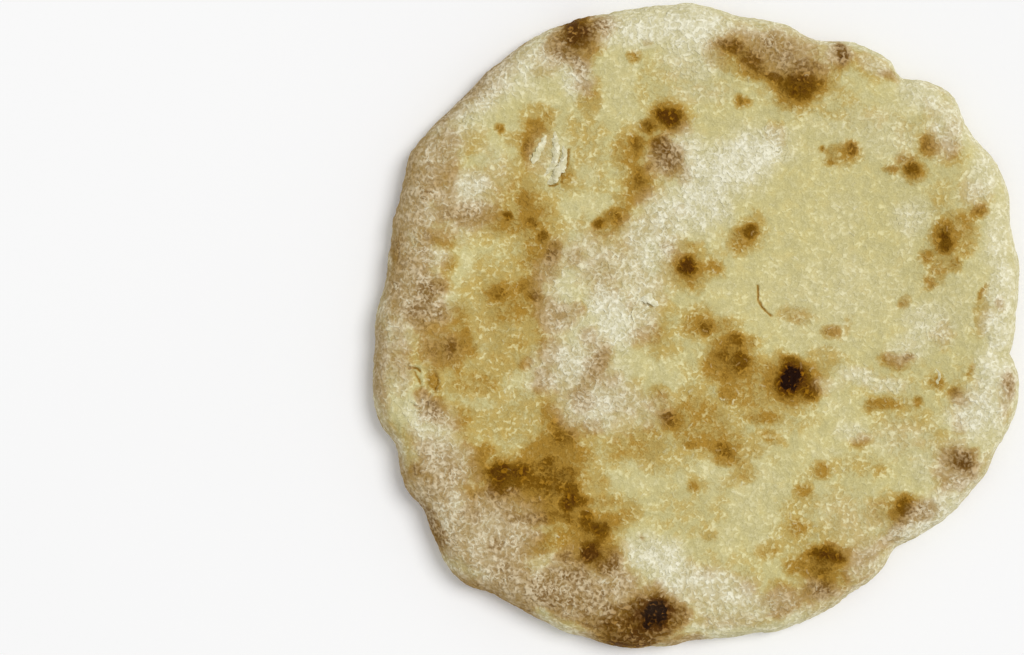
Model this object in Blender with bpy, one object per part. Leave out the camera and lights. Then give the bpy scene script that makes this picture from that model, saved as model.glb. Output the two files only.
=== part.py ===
"""A round stone-baked focaccia: one flat, floury loaf with an uneven, rolled rim.

Metres, +Z up. The origin is the middle of the loaf's outline, on the surface
that its flat foot rests on. The loaf is one solid: a hexagonal fan of
triangles is laid over its plan, lifted to the height of the crust, and closed
below by a turned-in side and a flat foot.
"""

import math

import bmesh
import bpy
from mathutils import Vector, noise

MM = 0.001

# Driving dimensions.
MEAN_REACH = 100.2 * MM  # middle of the loaf to its rim
OVAL_STRETCH = 1.8 * MM  # added at OVAL_ANGLE, taken away across it
OVAL_ANGLE = 40.0
RIM_CREST = 13.6 * MM  # height of the rolled rim
RIM_ROLL = 10.0 * MM  # how far in from the edge the rim reaches its crest
EDGE_HEIGHT = 5.0 * MM  # height of the loaf's widest outline
DISH_DEPTH = 1.9 * MM  # the middle lies this much below the rim
DISH_START = 11.0 * MM
DISH_END = 40.0 * MM
WAVE_HEIGHT = 0.55 * MM  # unevenness of the whole crust
WAVE_LENGTH = 17.0 * MM
WRINKLE_HEIGHT = 0.22 * MM
WRINKLE_LENGTH = 6.5 * MM
TOP_RINGS = 38

# The side below the widest outline: how far in it lies, and at what height.
SIDE_RINGS = (
    (0.9 * MM, 2.4 * MM),
    (2.9 * MM, 0.7 * MM),
    (5.6 * MM, 0.0),
)

# Where the rim was pushed out or drawn in: angle and half-width in degrees,
# and how far, in millimetres.
RIM_LOBES = (
    (3, 5, -2.1),
    (28, 7, 3.9),
    (43.5, 6, 4.7),
    (51, 2.5, -3.2),
    (55, 3, 0.6),
    (69, 5.5, -4.9),
    (81, 6, -3.0),
    (94, 5, 1.4),
    (112, 10, 3.8),
    (126, 9, 3.9),
    (145.5, 10, 4.8),
    (169.5, 7, -2.7),
    (181, 5, -1.3),
    (194, 5, 1.0),
    (200.5, 4, -2.2),
    (214, 3, -1.4),
    (225, 7, 4.2),
    (274, 11, -4.7),
    (286, 5, -0.8),
    (293, 7, -2.4),
    (305, 8, -4.7),
    (312.5, 4, -3.8),
    (319, 7, -3.7),
    (338, 4, -0.6),
    (346, 9, 1.8),
    (355.5, 4, -3.2),
)

# Folds that run in from the rim where it was drawn in: angle in degrees,
# depth and length in millimetres.
RIM_FOLDS = (
    (50.5, 1.5, 11),
    (72, 0.8, 9),
    (172, 0.6, 10),
    (217, 0.9, 9),
    (263, 0.6, 8),
    (311, 1.4, 11),
    (333, 0.7, 8),
    (355, 1.6, 13),
)
RIM_FOLD_WIDTH = 2.6

# Small dents and bulges all round the edge, as harmonics of the turn:
# how many to the turn, how far in millimetres, and the angle of the first.
EDGE_RIPPLES = (
    (23, 0.22, 8),
    (37, 0.20, 3),
    (58, 0.16, 5),
)

# Broad swells and hollows of the crust, in millimetres from the middle:
# x, y, half-width, height.
SWELLS = (
    (8, 52, 20, 0.7),
    (-22, 10, 16, 1.0),
    (-34, -12, 14, 0.7),
    (-66, 40, 18, 0.9),
    (-48, -52, 20, 0.8),
    (30, -52, 24, 0.7),
    (64, -22, 18, -0.7),
    (36, 22, 20, -0.9),
    (74, 30, 14, 0.8),
    (-52, 22, 13, -0.8),
    (-62, -30, 14, -0.9),
    (10, -20, 18, 0.8),
    (-14, 60, 13, -0.7),
    (0, -86, 14, 0.6),
    (60, 62, 14, -0.5),
)

# Blisters that the heat raised, in millimetres: x, y, half-width, height.
BLISTERS = (
    (-36, 89, 7, 1.0),
    (30.5, 73.5, 7, 1.2),
    (18, 80, 6, 0.8),
    (-10, 65, 6, 1.0),
    (-18, 50, 5, 0.7),
    (-2, 18.5, 4, 1.1),
    (16, 28.5, 4.5, 1.0),
    (28.5, -16, 6, 1.4),
    (14, -11, 5, 0.9),
    (46.5, 54.5, 5, 0.8),
    (66, 48, 4.5, 0.9),
    (76, 25, 5, 1.2),
    (-57, -45, 8, 0.9),
    (-41, -51, 6, 0.9),
    (-31, -69, 6, 0.9),
    (-12, -88, 8, 1.3),
    (39, -71, 6, 1.0),
    (63, -54.5, 5, 1.0),
    (81, -41, 6, 0.8),
    (-59, 8, 8, 0.8),
    (-48, 30, 7, 0.7),
    (-81, 12, 8, 0.9),
)

# The split flaky blister and the small crater by the rim, in millimetres.
FLAKE_PLACE = (-42.3, 50.3)
FLAKE_HALF_LENGTH = 8.5
FLAKE_HALF_WIDTH = 2.8
FLAKE_TILT = 100.0
FLAKE_HEIGHT = 1.0
CRATER_PLACE = (-83.3, -18.6)
CRATER_RADIUS = 5.0
CRATER_LIP_WIDTH = 1.8
CRATER_LIP = 1.0
CRATER_DEPTH = 1.3

CRUST_COLOUR = (0.56, 0.47, 0.24, 1.0)
CRUST_ROUGHNESS = 0.85


def clear_scene():
    for obj in list(bpy.data.objects):
        bpy.data.objects.remove(obj)


def bell(distance, half_width):
    return math.exp(-((distance / half_width) ** 2))


def smooth_step(low, high, value):
    t = min(max((value - low) / (high - low), 0.0), 1.0)
    return t * t * (3.0 - 2.0 * t)


def angle_between(a, b):
    return abs((a - b + 180.0) % 360.0 - 180.0)


def rim_reach(angle):
    """Distance from the middle to the rim, towards an angle in degrees."""
    reach = MEAN_REACH
    reach += OVAL_STRETCH * math.cos(math.radians(2.0 * (angle - OVAL_ANGLE)))
    for middle, half_width, push in RIM_LOBES:
        reach += push * MM * bell(angle_between(angle, middle), half_width)
    for count, push, first in EDGE_RIPPLES:
        reach += push * MM * math.cos(math.radians(count * (angle - first)))
    return reach


def flake_relief(x, y):
    """Height of the split blister at a place given in millimetres."""
    turn = math.radians(FLAKE_TILT)
    dx = x - FLAKE_PLACE[0]
    dy = y - FLAKE_PLACE[1]
    along = dx * math.cos(turn) + dy * math.sin(turn)
    across = dy * math.cos(turn) - dx * math.sin(turn)
    return FLAKE_HEIGHT * bell(along, FLAKE_HALF_LENGTH) * bell(across, FLAKE_HALF_WIDTH)


def crater_relief(x, y):
    """Height of the crater's lip, less its hollow, in millimetres."""
    distance = math.hypot(x - CRATER_PLACE[0], y - CRATER_PLACE[1])
    lip = CRATER_LIP * bell(distance - CRATER_RADIUS, CRATER_LIP_WIDTH)
    return lip - CRATER_DEPTH * bell(distance, 0.7 * CRATER_RADIUS)


def crust_relief(x, y):
    """Swells, blisters and wrinkles of the crust, in metres."""
    x_mm = x / MM
    y_mm = y / MM
    relief = flake_relief(x_mm, y_mm) + crater_relief(x_mm, y_mm)
    for middle_x, middle_y, half_width, height in SWELLS + BLISTERS:
        relief += height * bell(math.hypot(x_mm - middle_x, y_mm - middle_y), half_width)
    relief *= MM
    place = Vector((x, y, 0.0))
    relief += WAVE_HEIGHT * noise.noise(place / WAVE_LENGTH)
    relief += WRINKLE_HEIGHT * noise.noise(place / WRINKLE_LENGTH)
    return relief


def fold_depth(x, y, inset):
    """Depth of the folds that run in from the rim, in metres."""
    angle = math.degrees(math.atan2(y, x))
    around = math.hypot(x, y) / MM
    depth = 0.0
    for fold_angle, fold_depth_mm, length in RIM_FOLDS:
        across = math.radians(angle_between(angle, fold_angle)) * around
        depth += fold_depth_mm * bell(across, RIM_FOLD_WIDTH) * bell(inset / MM, length)
    return depth * MM


def crust_height(x, y, inset):
    """Height of the crust at a place that lies inset from the rim's edge."""
    share = min(inset / RIM_ROLL, 1.0)
    roll = math.sqrt(1.0 - (1.0 - share) ** 2)
    relief = crust_relief(x, y) - fold_depth(x, y, inset)
    crest = RIM_CREST + relief * smooth_step(0.0, 0.6 * RIM_ROLL, inset)
    dish = DISH_DEPTH * smooth_step(DISH_START, DISH_END, inset)
    return EDGE_HEIGHT + (crest - EDGE_HEIGHT) * roll - dish


def ring_share(ring):
    """How far out a ring of the fan lies; the rings crowd towards the rim."""
    t = ring / TOP_RINGS
    return t + 0.36 * math.sin(math.pi * t) / math.pi


def add_top(bm):
    """The crust, as rings of 6, 12, 18 and so on vertices. Returns the last ring."""
    previous = [bm.verts.new((0.0, 0.0, crust_height(0.0, 0.0, MEAN_REACH)))]
    for ring in range(1, TOP_RINGS + 1):
        count = 6 * ring
        current = []
        for index in range(count):
            turn = 2.0 * math.pi * index / count
            reach = rim_reach(math.degrees(turn))
            radius = reach * ring_share(ring)
            x = radius * math.cos(turn)
            y = radius * math.sin(turn)
            current.append(bm.verts.new((x, y, crust_height(x, y, reach - radius))))
        join_rings(bm, previous, current, ring)
        previous = current
    return previous


def join_rings(bm, inner, outer, ring):
    """Triangles between two neighbouring rings of the hexagonal fan."""
    for sector in range(6):
        for step in range(ring):
            first = outer[sector * ring + step]
            second = outer[(sector * ring + step + 1) % len(outer)]
            near = inner[(sector * (ring - 1) + step) % len(inner)]
            bm.faces.new((near, first, second))
            if step + 1 < ring:
                far = inner[(sector * (ring - 1) + step + 1) % len(inner)]
                bm.faces.new((near, second, far))


def add_side_and_foot(bm, edge_ring):
    """The side that turns in below the widest outline, closed by the flat foot."""
    upper = edge_ring
    for inset, height in SIDE_RINGS:
        lower = []
        for vert in edge_ring:
            distance = math.hypot(vert.co.x, vert.co.y)
            share = (distance - inset) / distance
            lower.append(bm.verts.new((vert.co.x * share, vert.co.y * share, height)))
        for index, vert in enumerate(upper):
            after = (index + 1) % len(upper)
            bm.faces.new((upper[after], vert, lower[index], lower[after]))
        upper = lower
    bm.faces.new(list(reversed(upper)))


def centre_on_outline(bm):
    """Puts the middle of the outline's bounding box over the origin."""
    xs = [vert.co.x for vert in bm.verts]
    ys = [vert.co.y for vert in bm.verts]
    shift = Vector(((min(xs) + max(xs)) / 2.0, (min(ys) + max(ys)) / 2.0, 0.0))
    bmesh.ops.translate(bm, vec=-shift, verts=bm.verts)


def crust_material():
    material = bpy.data.materials.new("crust")
    material.use_nodes = True
    shader = material.node_tree.nodes["Principled BSDF"]
    shader.inputs["Base Color"].default_value = CRUST_COLOUR
    shader.inputs["Roughness"].default_value = CRUST_ROUGHNESS
    shader.inputs["Metallic"].default_value = 0.0
    return material


def make_focaccia():
    bm = bmesh.new()
    edge_ring = add_top(bm)
    add_side_and_foot(bm, edge_ring)
    centre_on_outline(bm)
    bmesh.ops.recalc_face_normals(bm, faces=bm.faces)
    mesh = bpy.data.meshes.new("focaccia")
    bm.to_mesh(mesh)
    bm.free()
    mesh.shade_smooth()
    mesh.materials.append(crust_material())
    loaf = bpy.data.objects.new("focaccia", mesh)
    bpy.context.scene.collection.objects.link(loaf)
    return loaf


clear_scene()
make_focaccia()
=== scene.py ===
"""The looks of a round stone-baked focaccia, laid out as a Blender add-on.

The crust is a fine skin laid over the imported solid. Its swells, wrinkles,
ridges and furrows are relief, and its material reads painted fields, such as
how toasted and how floured it is. Thin flakes stand off it, and crumbs of
flour and of crust lie on it. Sizes are in metres, +Z up; places on the loaf
are in millimetres from its middle.
"""

import math

import bmesh
import bpy
import numpy as np
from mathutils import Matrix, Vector, noise
from mathutils.bvhtree import BVHTree


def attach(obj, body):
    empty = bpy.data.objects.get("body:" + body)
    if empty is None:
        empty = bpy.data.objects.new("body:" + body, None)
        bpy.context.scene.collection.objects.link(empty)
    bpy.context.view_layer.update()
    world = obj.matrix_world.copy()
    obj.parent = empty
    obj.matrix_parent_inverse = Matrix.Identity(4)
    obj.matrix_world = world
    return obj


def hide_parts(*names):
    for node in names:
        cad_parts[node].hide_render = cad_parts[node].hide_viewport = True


bl_info = {
    "name": "Round focaccia",
    "version": (1, 0, 0),
    "blender": (4, 5, 0),
    "location": "3D View > Sidebar > Focaccia",
    "description": "Dresses the solid of a round loaf with a toasted, floured crust",
    "category": "Object",
}

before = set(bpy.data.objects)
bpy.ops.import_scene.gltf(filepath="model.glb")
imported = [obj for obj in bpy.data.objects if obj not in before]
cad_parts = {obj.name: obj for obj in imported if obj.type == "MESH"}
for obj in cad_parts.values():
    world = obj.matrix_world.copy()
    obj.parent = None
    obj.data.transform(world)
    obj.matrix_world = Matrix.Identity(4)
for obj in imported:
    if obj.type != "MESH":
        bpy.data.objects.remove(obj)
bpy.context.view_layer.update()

MM = 0.001
BODY = "root"
LOAF_NODE = "focaccia"
DOWN = Vector((0.0, 0.0, -1.0))

# The skin's rings. A ring of the crust has 6 points more than the one inside
# it, and the underside's rings start at a quarter of the edge's points.
FLAT_RINGS = 126
ROLL_RINGS = 30
TOP_RINGS = FLAT_RINGS + ROLL_RINGS
EDGE_POINTS = 6 * TOP_RINGS
FOOT_RINGS = TOP_RINGS // 4
SIDE_HEIGHTS = (0.86, 0.72, 0.58, 0.45, 0.33, 0.22, 0.12, 0.05, 0.0)
WELD = 1e-6

# The lowest ray that is cast at the side: one at the foot's height could miss.
LOWEST_RAY = 0.02 * MM

# The skin's map: the crust and side as one large disc, the underside as a
# small one in the corner. Radii and centres are shares of the map.
CRUST_DISC_CENTRE = (0.47, 0.47)
CRUST_DISC_PER_METRE = 3.88
FOOT_DISC_CENTRE = (0.885, 0.885)
FOOT_DISC_PER_METRE = 1.08
CRUMB_MAP_WIDTH = 0.205

# Smooth noise that bends edges: its pitch, how far it moves a place, both in
# millimetres, and its shift. The painted fields are bent by one after another.
FIELD_BENDS = ((6.0, 1.2, 0.4), (2.3, 0.6, 9.2))
WRINKLE_BEND = (2.2, 0.9, 5.3)
FOLD_BEND = (4.0, 0.6, 2.4)

# The noise that bends edges would be another one each time without a seed.
BEND_SEED = 2

# Smooth noise that is read as it is: its pitch in millimetres and its shift.
WIDE_DRIFTS = (13.0, 6.1)
FINE_DRIFTS = (5.0, 3.7)
STONE_SPOTS = (9.0, 2.9)
STONE_CLOUDS = (26.0, 8.8)
FLOUR_FILM = (20.0, 3.3)
FOOT_SWELLS = (14.0, 6.6)
FOOT_BUMPS = (3.0, 0.0)
CRUMB_PATCHES = (7.0, 4.2)

# The pitches of a dab's ragged edge, and the shifts of the noise that takes
# its pitch from these or from the loaf's sizes.
RAGGED_PITCHES = (6.5, 2.6)
TOASTED_SHIFT = 4.7
FLOURED_SHIFT = 8.3
SWELL_SHIFT = 3.1
WRINKLE_SHIFT = 7.7
PEBBLE_SHIFT = 1.9

# The finest grain, which is the material's own: pitch and height of its curls,
# and its patterns, as how much finer each is, its detail and its distortion.
CRINKLE_PITCH = 1.5 * MM
CRINKLE_HEIGHT = 0.19 * MM
CRINKLE_CURLS = (1.3, 0.5, 0.6)
CRINKLE_GRAINS = (3.3, 0.5, 0.4)
CRINKLE_CLOUDS = (0.4, 2.0, 0.3)

# How far flakes and crumbs are lifted off the crust, as their material takes
# it, what lifting gives them at most, and what the crumbs' random places are
# drawn with.
FLAKES_LIFTED = 0.4
CRUMBS_LIFTED = 0.55
LIFTED_FLOUR = 0.3
LIFTED_PALE = 0.2
LIFTED_RAISED = 0.8
LIFTED_SMOOTH = 0.7
FLOUR_SEED = 11
CRUST_SEED = 23

# A crumb is one of these slivers, bent by so many degrees, and of any size
# between these shares of the given one.
SLIVER_SWEEPS = (30.0, 75.0, 120.0)
SLIVER_SIZES = (0.6, 1.3)

# The picture's frame, and where its middle falls from the loaf's, in plan.
FRAME_WIDTH_PIXELS = 1024
PIXEL_SIZE = 0.308 * MM
CAMERA_X = -56.7 * MM
CAMERA_Y = -0.6 * MM
SENSOR_WIDTH = 36.0

# The key light's height, direction and spread, in degrees, and the floor's
# darkest and palest tone.
SUN_ELEVATION = 58.0
SUN_AZIMUTH = 25.0
SUN_SOFTNESS = 30.0
FLOOR_TONES = ((0.93, 0.93, 0.93, 1.0), (0.97, 0.97, 0.97, 1.0))

# Toasted places: x, y, half-length, half-width, turn in degrees, how toasted.
# From 0, pale, through golden and brown to 1, charred. A few are painted shade,
# wholly or in part: inside the broken blister, beside the flaking blister and
# along the left rim's outermost edge.
TOASTED_AND_SHADED = (
    # Upper rim, and just inside it.
    (-36.5, 89, 5, 5, -20, 0.76),
    (-38.5, 87, 8, 7, -20, 0.50),
    (-54, 86, 2.5, 1, 30, 0.55),
    (-35, 73.5, 3, 3, 0, 0.42),
    (-19.5, 82, 2.5, 2.5, 0, 0.32),
    (-16, 86, 1.5, 1, 0, 0.25),
    (9.5, 85.2, 4, 2.6, -20, 0.60),
    (14, 82.4, 4, 2.6, -40, 0.55),
    (17, 76.8, 5, 2, -15, 0.42),
    (5.5, 83.5, 5, 5, 0, 0.32),
    (18, 79.2, 4, 2.8, -40, 0.60),
    (23.5, 76, 3.5, 2, -10, 0.62),
    (30.8, 73.2, 7, 5, 0, 0.73),
    (31, 74.5, 10.5, 8, -10, 0.48),
    (26, 84.5, 12.5, 5.5, -10, 0.48),
    (44, 83, 2, 3.5, 0, 0.66),
    (43.5, 82.5, 5, 4.5, 0, 0.43),
    (58, 76.5, 4, 2, -30, 0.42),
    # Upper middle.
    (-8.5, 63.5, 4, 3.5, 0, 0.76),
    (-8.5, 63, 6.5, 5.5, 0, 0.48),
    (-15, 60.5, 3, 2.5, 0, 0.62),
    (-13, 55.5, 2.5, 2, 0, 0.52),
    (-8.5, 51, 5, 5.5, 0, 0.58),
    (-18.5, 54.5, 2.5, 3.5, 10, 0.56),
    (-17.5, 45, 2.5, 5, 5, 0.54),
    (-17.5, 43, 4.5, 6, 5, 0.40),
    (-25.5, 32.5, 3.5, 2.5, -30, 0.52),
    (-30, 31.5, 2.5, 2, 0, 0.57),
    (-27.5, 30, 5.5, 4, 0, 0.34),
    (14, 68.5, 2.5, 2, 0, 0.45),
    # Left.
    (-49.5, 60.5, 3, 3.5, 0, 0.46),
    (-52, 55, 2.5, 5, 0, 0.50),
    (-50, 55, 6, 9, 0, 0.26),
    (-35, 52, 8, 15, 0, 0.155),
    (-23, 53, 3.5, 6, 0, 0.30),
    (-46, 62, 3, 5, 0, 0.28),
    (-35.5, 79.5, 4, 4, 0, 0.50),
    (-45, 79, 7, 3, 20, 0.26),
    (-56, 57, 3, 3, 0, 0.24),
    (-70, 56, 5, 5, 0, 0.22),
    (-68, 31, 8, 4, 0, 0.28),
    (-82, 27, 4.5, 3.5, 0, 0.45),
    (-77, 27, 4, 4.5, 0, 0.34),
    (-77, 19, 3, 3, 0, 0.34),
    (-83, 39, 3, 4, 0, 0.48),
    (-60, 31, 4, 4, 0, 0.36),
    (-73, -28, 5, 5, 0, 0.32),
    (-58, 4, 7, 4, 0, 0.32),
    (-78, 4, 2.5, 5, 0, 0.48),
    (-33, -5, 3, 5, 0, 0.38),
    (-19, -3, 3, 4, 0, 0.30),
    (-22, 38, 5, 3, 0, 0.30),
    (-33, 70, 4, 7, 0, 0.28),
    (-48, 66, 5, 2.5, 0, 0.24),
    (-60, 59.5, 1.5, 1.5, 0, 0.45),
    (-53, 38.5, 2.5, 3, 0, 0.48),
    (-58, 33, 2.5, 2, 0, 0.66),
    (-50.5, 31.5, 2.5, 2.5, 0, 0.52),
    (-47, 27, 2.5, 3, 0, 0.56),
    (-44, 22, 3.5, 4, 0, 0.54),
    (-54, 31, 10, 4, -8, 0.32),
    (-61, 10, 4.5, 3, 10, 0.48),
    (-51, 11, 5, 3, -40, 0.49),
    (-49.5, 8.5, 3, 2.5, 0, 0.48),
    (-55, 9.5, 10.5, 4.5, -4, 0.34),
    (-81.5, 12, 6, 5.5, 0, 0.46),
    (-79.5, 11.5, 4, 3, 0, 0.52),
    (-74.5, -6.5, 2.5, 2, 30, 0.55),
    (-76.5, -8.5, 4.5, 2.5, 30, 0.32),
    (-80, -16.5, 2.5, 4.5, 20, 0.35),
    (-85.5, -44, 2, 2.5, 10, 0.50),
    # Lower left.
    (-48, -19.5, 2, 2.5, 0, 0.40),
    (-43, -30, 3, 3, 0, 0.42),
    (-40.5, -34, 4.5, 3.5, 0, 0.50),
    (-42, -32, 7.5, 6, 0, 0.40),
    (-59, -45, 8, 3.5, 4, 0.68),
    (-57, -46, 9.5, 5, 4, 0.54),
    (-45, -47.5, 6.5, 5, 0, 0.55),
    (-39, -50.5, 3.5, 4.5, 0, 0.62),
    (-39.5, -54, 3.5, 3.5, 0, 0.72),
    (-33.5, -59.5, 3.5, 3.5, -40, 0.66),
    (-29.5, -62, 3.5, 3, -30, 0.72),
    (-32.5, -69, 3.5, 3.5, 0, 0.80),
    (-32.5, -68, 5.5, 5.5, 0, 0.46),
    (-46, -53, 13, 8, -30, 0.39),
    (-27.5, -60, 6, 4.5, 0, 0.38),
    (-13, -87.5, 3.5, 4, 0, 1.00),
    (-13.5, -87, 7, 6, 0, 0.84),
    (-17, -89, 8.5, 6, 20, 0.68),
    (-23, -91.5, 11, 6.5, 10, 0.52),
    (-39, -85.5, 7.5, 5, 20, 0.42),
    (-27.5, -92.5, 5, 2.5, 10, 0.40),
    # Middle.
    (-3, 18, 3, 3, 0, 0.78),
    (-3, 18, 4.5, 4.5, 0, 0.50),
    (16.2, 28.5, 3, 3, 0, 0.67),
    (15, 27.8, 5, 4.5, 0, 0.38),
    (-9.5, 24, 3, 3, 0, 0.38),
    (-2.5, 24.5, 2, 1.5, 0, 0.30),
    (5, 17.5, 3, 2, 0, 0.36),
    (2, -0.5, 3, 3, 0, 0.56),
    (0.5, 0.5, 6, 5, 0, 0.35),
    (11.5, -4.5, 3.5, 2.5, -30, 0.54),
    (11, -9, 7, 4.5, -45, 0.44),
    (13.5, -10.5, 3.5, 3, -20, 0.66),
    (5.5, -8.5, 2.5, 2.5, 0, 0.36),
    (10, -9, 8, 5.5, -30, 0.41),
    (28, -16, 3.5, 4.5, -20, 1.00),
    (28.5, -16.5, 5, 6, -25, 0.82),
    (34, -19.5, 4, 3.5, -10, 0.67),
    (29, -20, 7, 5.5, -10, 0.49),
    (19, -19, 9, 8, -20, 0.30),
    (0.5, -31, 18, 9, -25, 0.31),
    (-9.5, -28, 2.5, 3, 0, 0.60),
    (-8, -29, 4.5, 3, 0, 0.48),
    (-2.5, -36.5, 2.5, 2, 0, 0.45),
    (8, -38, 3.5, 2, -10, 0.52),
    (7, -37.5, 6, 3.5, 0, 0.36),
    (-14.5, -2.5, 5.5, 3.5, 0, 0.33),
    (22, -34, 5, 2.5, -20, 0.28),
    (-1, -21.5, 7, 5, 0, 0.18),
    # Right.
    (41, -2, 3, 2.5, 0, 0.41),
    (30, 3, 4.5, 3, 0, 0.28),
    (60, -11, 5, 2.5, -10, 0.40),
    (64, -10, 2, 1.5, 0, 0.50),
    (53.5, -23.5, 2.5, 2, 0, 0.38),
    (57, -24, 5.5, 2.5, 0, 0.36),
    (67, -23.5, 2, 2, 0, 0.42),
    (60, -24, 8, 3, -3, 0.22),
    (73, -17.5, 3, 2.5, 0, 0.37),
    (78.5, -20, 2, 2, 0, 0.45),
    (83, -14, 2.5, 1, 60, 0.36),
    (75.5, 25.5, 2.5, 4, 10, 0.65),
    (75.2, 26.3, 4, 5, 10, 0.53),
    (79.5, 29.5, 5.5, 5.5, -50, 0.34),
    (85.5, 34.5, 3, 2.5, 0, 0.50),
    (70, 21.5, 2.5, 2.5, 0, 0.37),
    (82, 24, 3, 3, 0, 0.28),
    (71, 13, 2, 2.5, 0, 0.32),
    (63, 7, 2, 2, 0, 0.36),
    (74, 17.5, 3, 4.5, 0, 0.28),
    (86.5, 9.5, 1, 3.5, -10, 0.36),
    (92, 6.5, 1, 2, 0, 0.40),
    (65.5, 47.5, 3, 2.5, 0, 0.61),
    (65.5, 47, 4, 3.5, 0, 0.44),
    (59, 48, 2.5, 1.5, 0, 0.40),
    (70, 54.5, 3, 3.5, 20, 0.50),
    (72, 55, 4.5, 4.5, 0, 0.28),
    (75.5, 50, 4, 2, 0, 0.18),
    (64, 50.5, 3.5, 2.5, 0, 0.36),
    (78, 60, 3, 3, 0, 0.28),
    (47, 54, 2.5, 2.5, 0, 0.55),
    (41, 53, 2.5, 2, 0, 0.32),
    (38, 54, 1, 1, 0, 0.50),
    (41, 50, 2, 1.5, 0, 0.36),
    (45, 52.5, 5, 3.5, 0, 0.30),
    (95, -18, 2.5, 5.5, 0, 0.56),
    (94, -21, 3, 8, 0, 0.34),
    # Lower right and lower middle.
    (81, -41.5, 4.5, 3.5, 0, 0.70),
    (79, -41, 6, 5.5, 0, 0.55),
    (75.5, -45.5, 4.5, 3.5, 0, 0.35),
    (62.5, -54.5, 3.5, 3.5, 0, 0.60),
    (64.5, -55.5, 5, 4, 0, 0.45),
    (58, -53, 3, 3, 0, 0.22),
    (71, -56.5, 4.5, 3.5, 0, 0.36),
    (39, -70, 6.5, 2.5, -5, 0.74),
    (38, -73.5, 5, 3.5, 0, 0.53),
    (39, -79, 2.5, 2.5, 0, 0.55),
    (45, -76, 2, 2.5, 0, 0.42),
    (38, -74, 8, 6.5, 0, 0.39),
    (37, -81, 6, 3, 0, 0.52),
    (38, -44, 3.5, 3, -20, 0.34),
    (32.5, -51, 3.5, 3, 0, 0.33),
    (30.5, -61.5, 4, 3.5, 0, 0.33),
    (50, -35, 3.5, 2.5, 0, 0.34),
    (55.5, -44, 2.5, 2, 0, 0.24),
    (-1.5, -49.5, 2, 1.5, 0, 0.36),
    (-17, -65, 1, 1, 0, 0.45),
    (3.5, -64, 3.5, 2.5, 0, 0.24),
    (21.5, -68.5, 4.5, 3, 0, 0.26),
    (1, -76, 5, 2.5, 0, 0.30),
    (15, -80, 4, 3, 0, 0.30),
    (26.5, -80, 5, 2.5, -20, 0.32),
    (25, -87.5, 5.5, 2, 10, 0.40),
    # Softer browning, left. The dabs that reach the rim's outermost edge are partly
    # browning and partly painted shade, where the rim turns down.
    (-66, 74, 20, 5.5, 42, 0.36),
    (-71, 73.5, 26, 5, 42, 0.48),
    (-43, 84, 6, 5, 30, 0.42),
    (-31, 91, 6, 4, 10, 0.56),
    (-37, 93.5, 6, 2.5, 15, 0.60),
    (-81.5, -25.5, 4, 5, -30, 0.50),
    # Painted shade inside the broken blister.
    (-84, -21.5, 2.5, 2.5, 0, 0.46),
    (-74, 34, 8, 3, 0, 0.42),
    (-69, 34, 9, 4.5, 0, 0.45),
    (-78, 56, 5, 9, -20, 0.42),
    (-84, 4, 8, 6, 0, 0.50),
    (-45, 3, 8, 6, -10, 0.43),
    (-47, 20, 6, 8, 20, 0.40),
    (-38, 21, 3.5, 4, 0, 0.36),
    # Painted shadow beside the flaking blister's last flake.
    (-40, 45, 3, 4, 0, 0.30),
    (-45, -8, 5, 6, 0, 0.37),
    (-73, 3, 5, 5, 0, 0.35),
    (-70, -18, 8, 5, 0, 0.29),
    (-64, -18, 4, 4, 0, 0.28),
    (-11, -7, 6, 4, 0, 0.18),
    (-35, -22.5, 4, 5, 20, 0.44),
    (-45, -26, 3, 3, 0, 0.38),
    # Along the rim's outer edge: partly browning, partly painted shade.
    (-88, 42, 10, 24, -8, 0.45),
    (-88, 14, 10, 16, 0, 0.46),
    (-77, -7, 9, 7, 0, 0.50),
    (-91, -8, 4, 12, 0, 0.36),
    (-97, -12, 3, 17, 0, 0.43),
    (-98, -2, 5, 22, 0, 0.26),
    (-93, 8, 4, 10, 0, 0.38),
    (-93, -44, 5, 20, 22, 0.44),
    (-71, -40, 6, 7, 0, 0.36),
    (-77, 42, 5, 14, -5, 0.44),
    (-58, 3, 14, 21, 0, 0.24),
    (-58, 37, 14, 13, 0, 0.26),
    (-50, 35, 6, 3, 0, 0.36),
    (-48, 31, 6, 14, 25, 0.25),
    (-40, -20, 12, 14, 0, 0.26),
    (-60, -28, 14, 12, 0, 0.18),
    (-79, -45, 8, 14, 20, 0.48),
    (-73, -46, 5, 5, 0, 0.40),
    # Along the rim's outer edge: partly browning, partly painted shade.
    (-82, -60, 14, 4, -55, 0.58),
    (-85, -48, 4, 8, 20, 0.42),
    (-62, -84, 22, 4, -30, 0.50),
    # Softer browning, lower left.
    (-65, -54, 9, 6, 0, 0.44),
    (-62, -50, 5, 3, 0, 0.54),
    (-52, -66, 10, 6, -10, 0.44),
    (-23, -37, 7, 7, 0, 0.26),
    (-31, -48, 6, 4, 0, 0.26),
    (-24, -78, 6, 6, 20, 0.46),
    (-14, -93, 8, 3, 5, 0.66),
    (-14, -81, 7, 3, 5, 0.37),
    (-6, -86, 3, 3, 0, 0.52),
    (-6.5, -90.5, 3, 3, 0, 0.54),
    (-25, -94, 4, 2.5, 0, 0.62),
    (-33, -90, 10, 3, -18, 0.52),
    (-26, -97, 14, 3, -12, 0.46),
    (-4, -97, 10, 3, 0, 0.44),
    (-26, -86, 5, 2.5, 5, 0.58),
    (-26.5, -90, 5, 2.5, 5, 0.60),
    (-62, -67, 3, 3, 0, 0.50),
    (-38, -76, 5, 3, 0, 0.54),
    (-5.5, -88.5, 3.5, 4, 0, 0.56),
    (-20, -97, 10, 3, 2, 0.72),
    (-13, -87, 8, 6.5, 10, 0.62),
    (-27, -70, 4, 4, 0, 0.52),
    (-28, -73.5, 4.5, 3, 0, 0.62),
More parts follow.
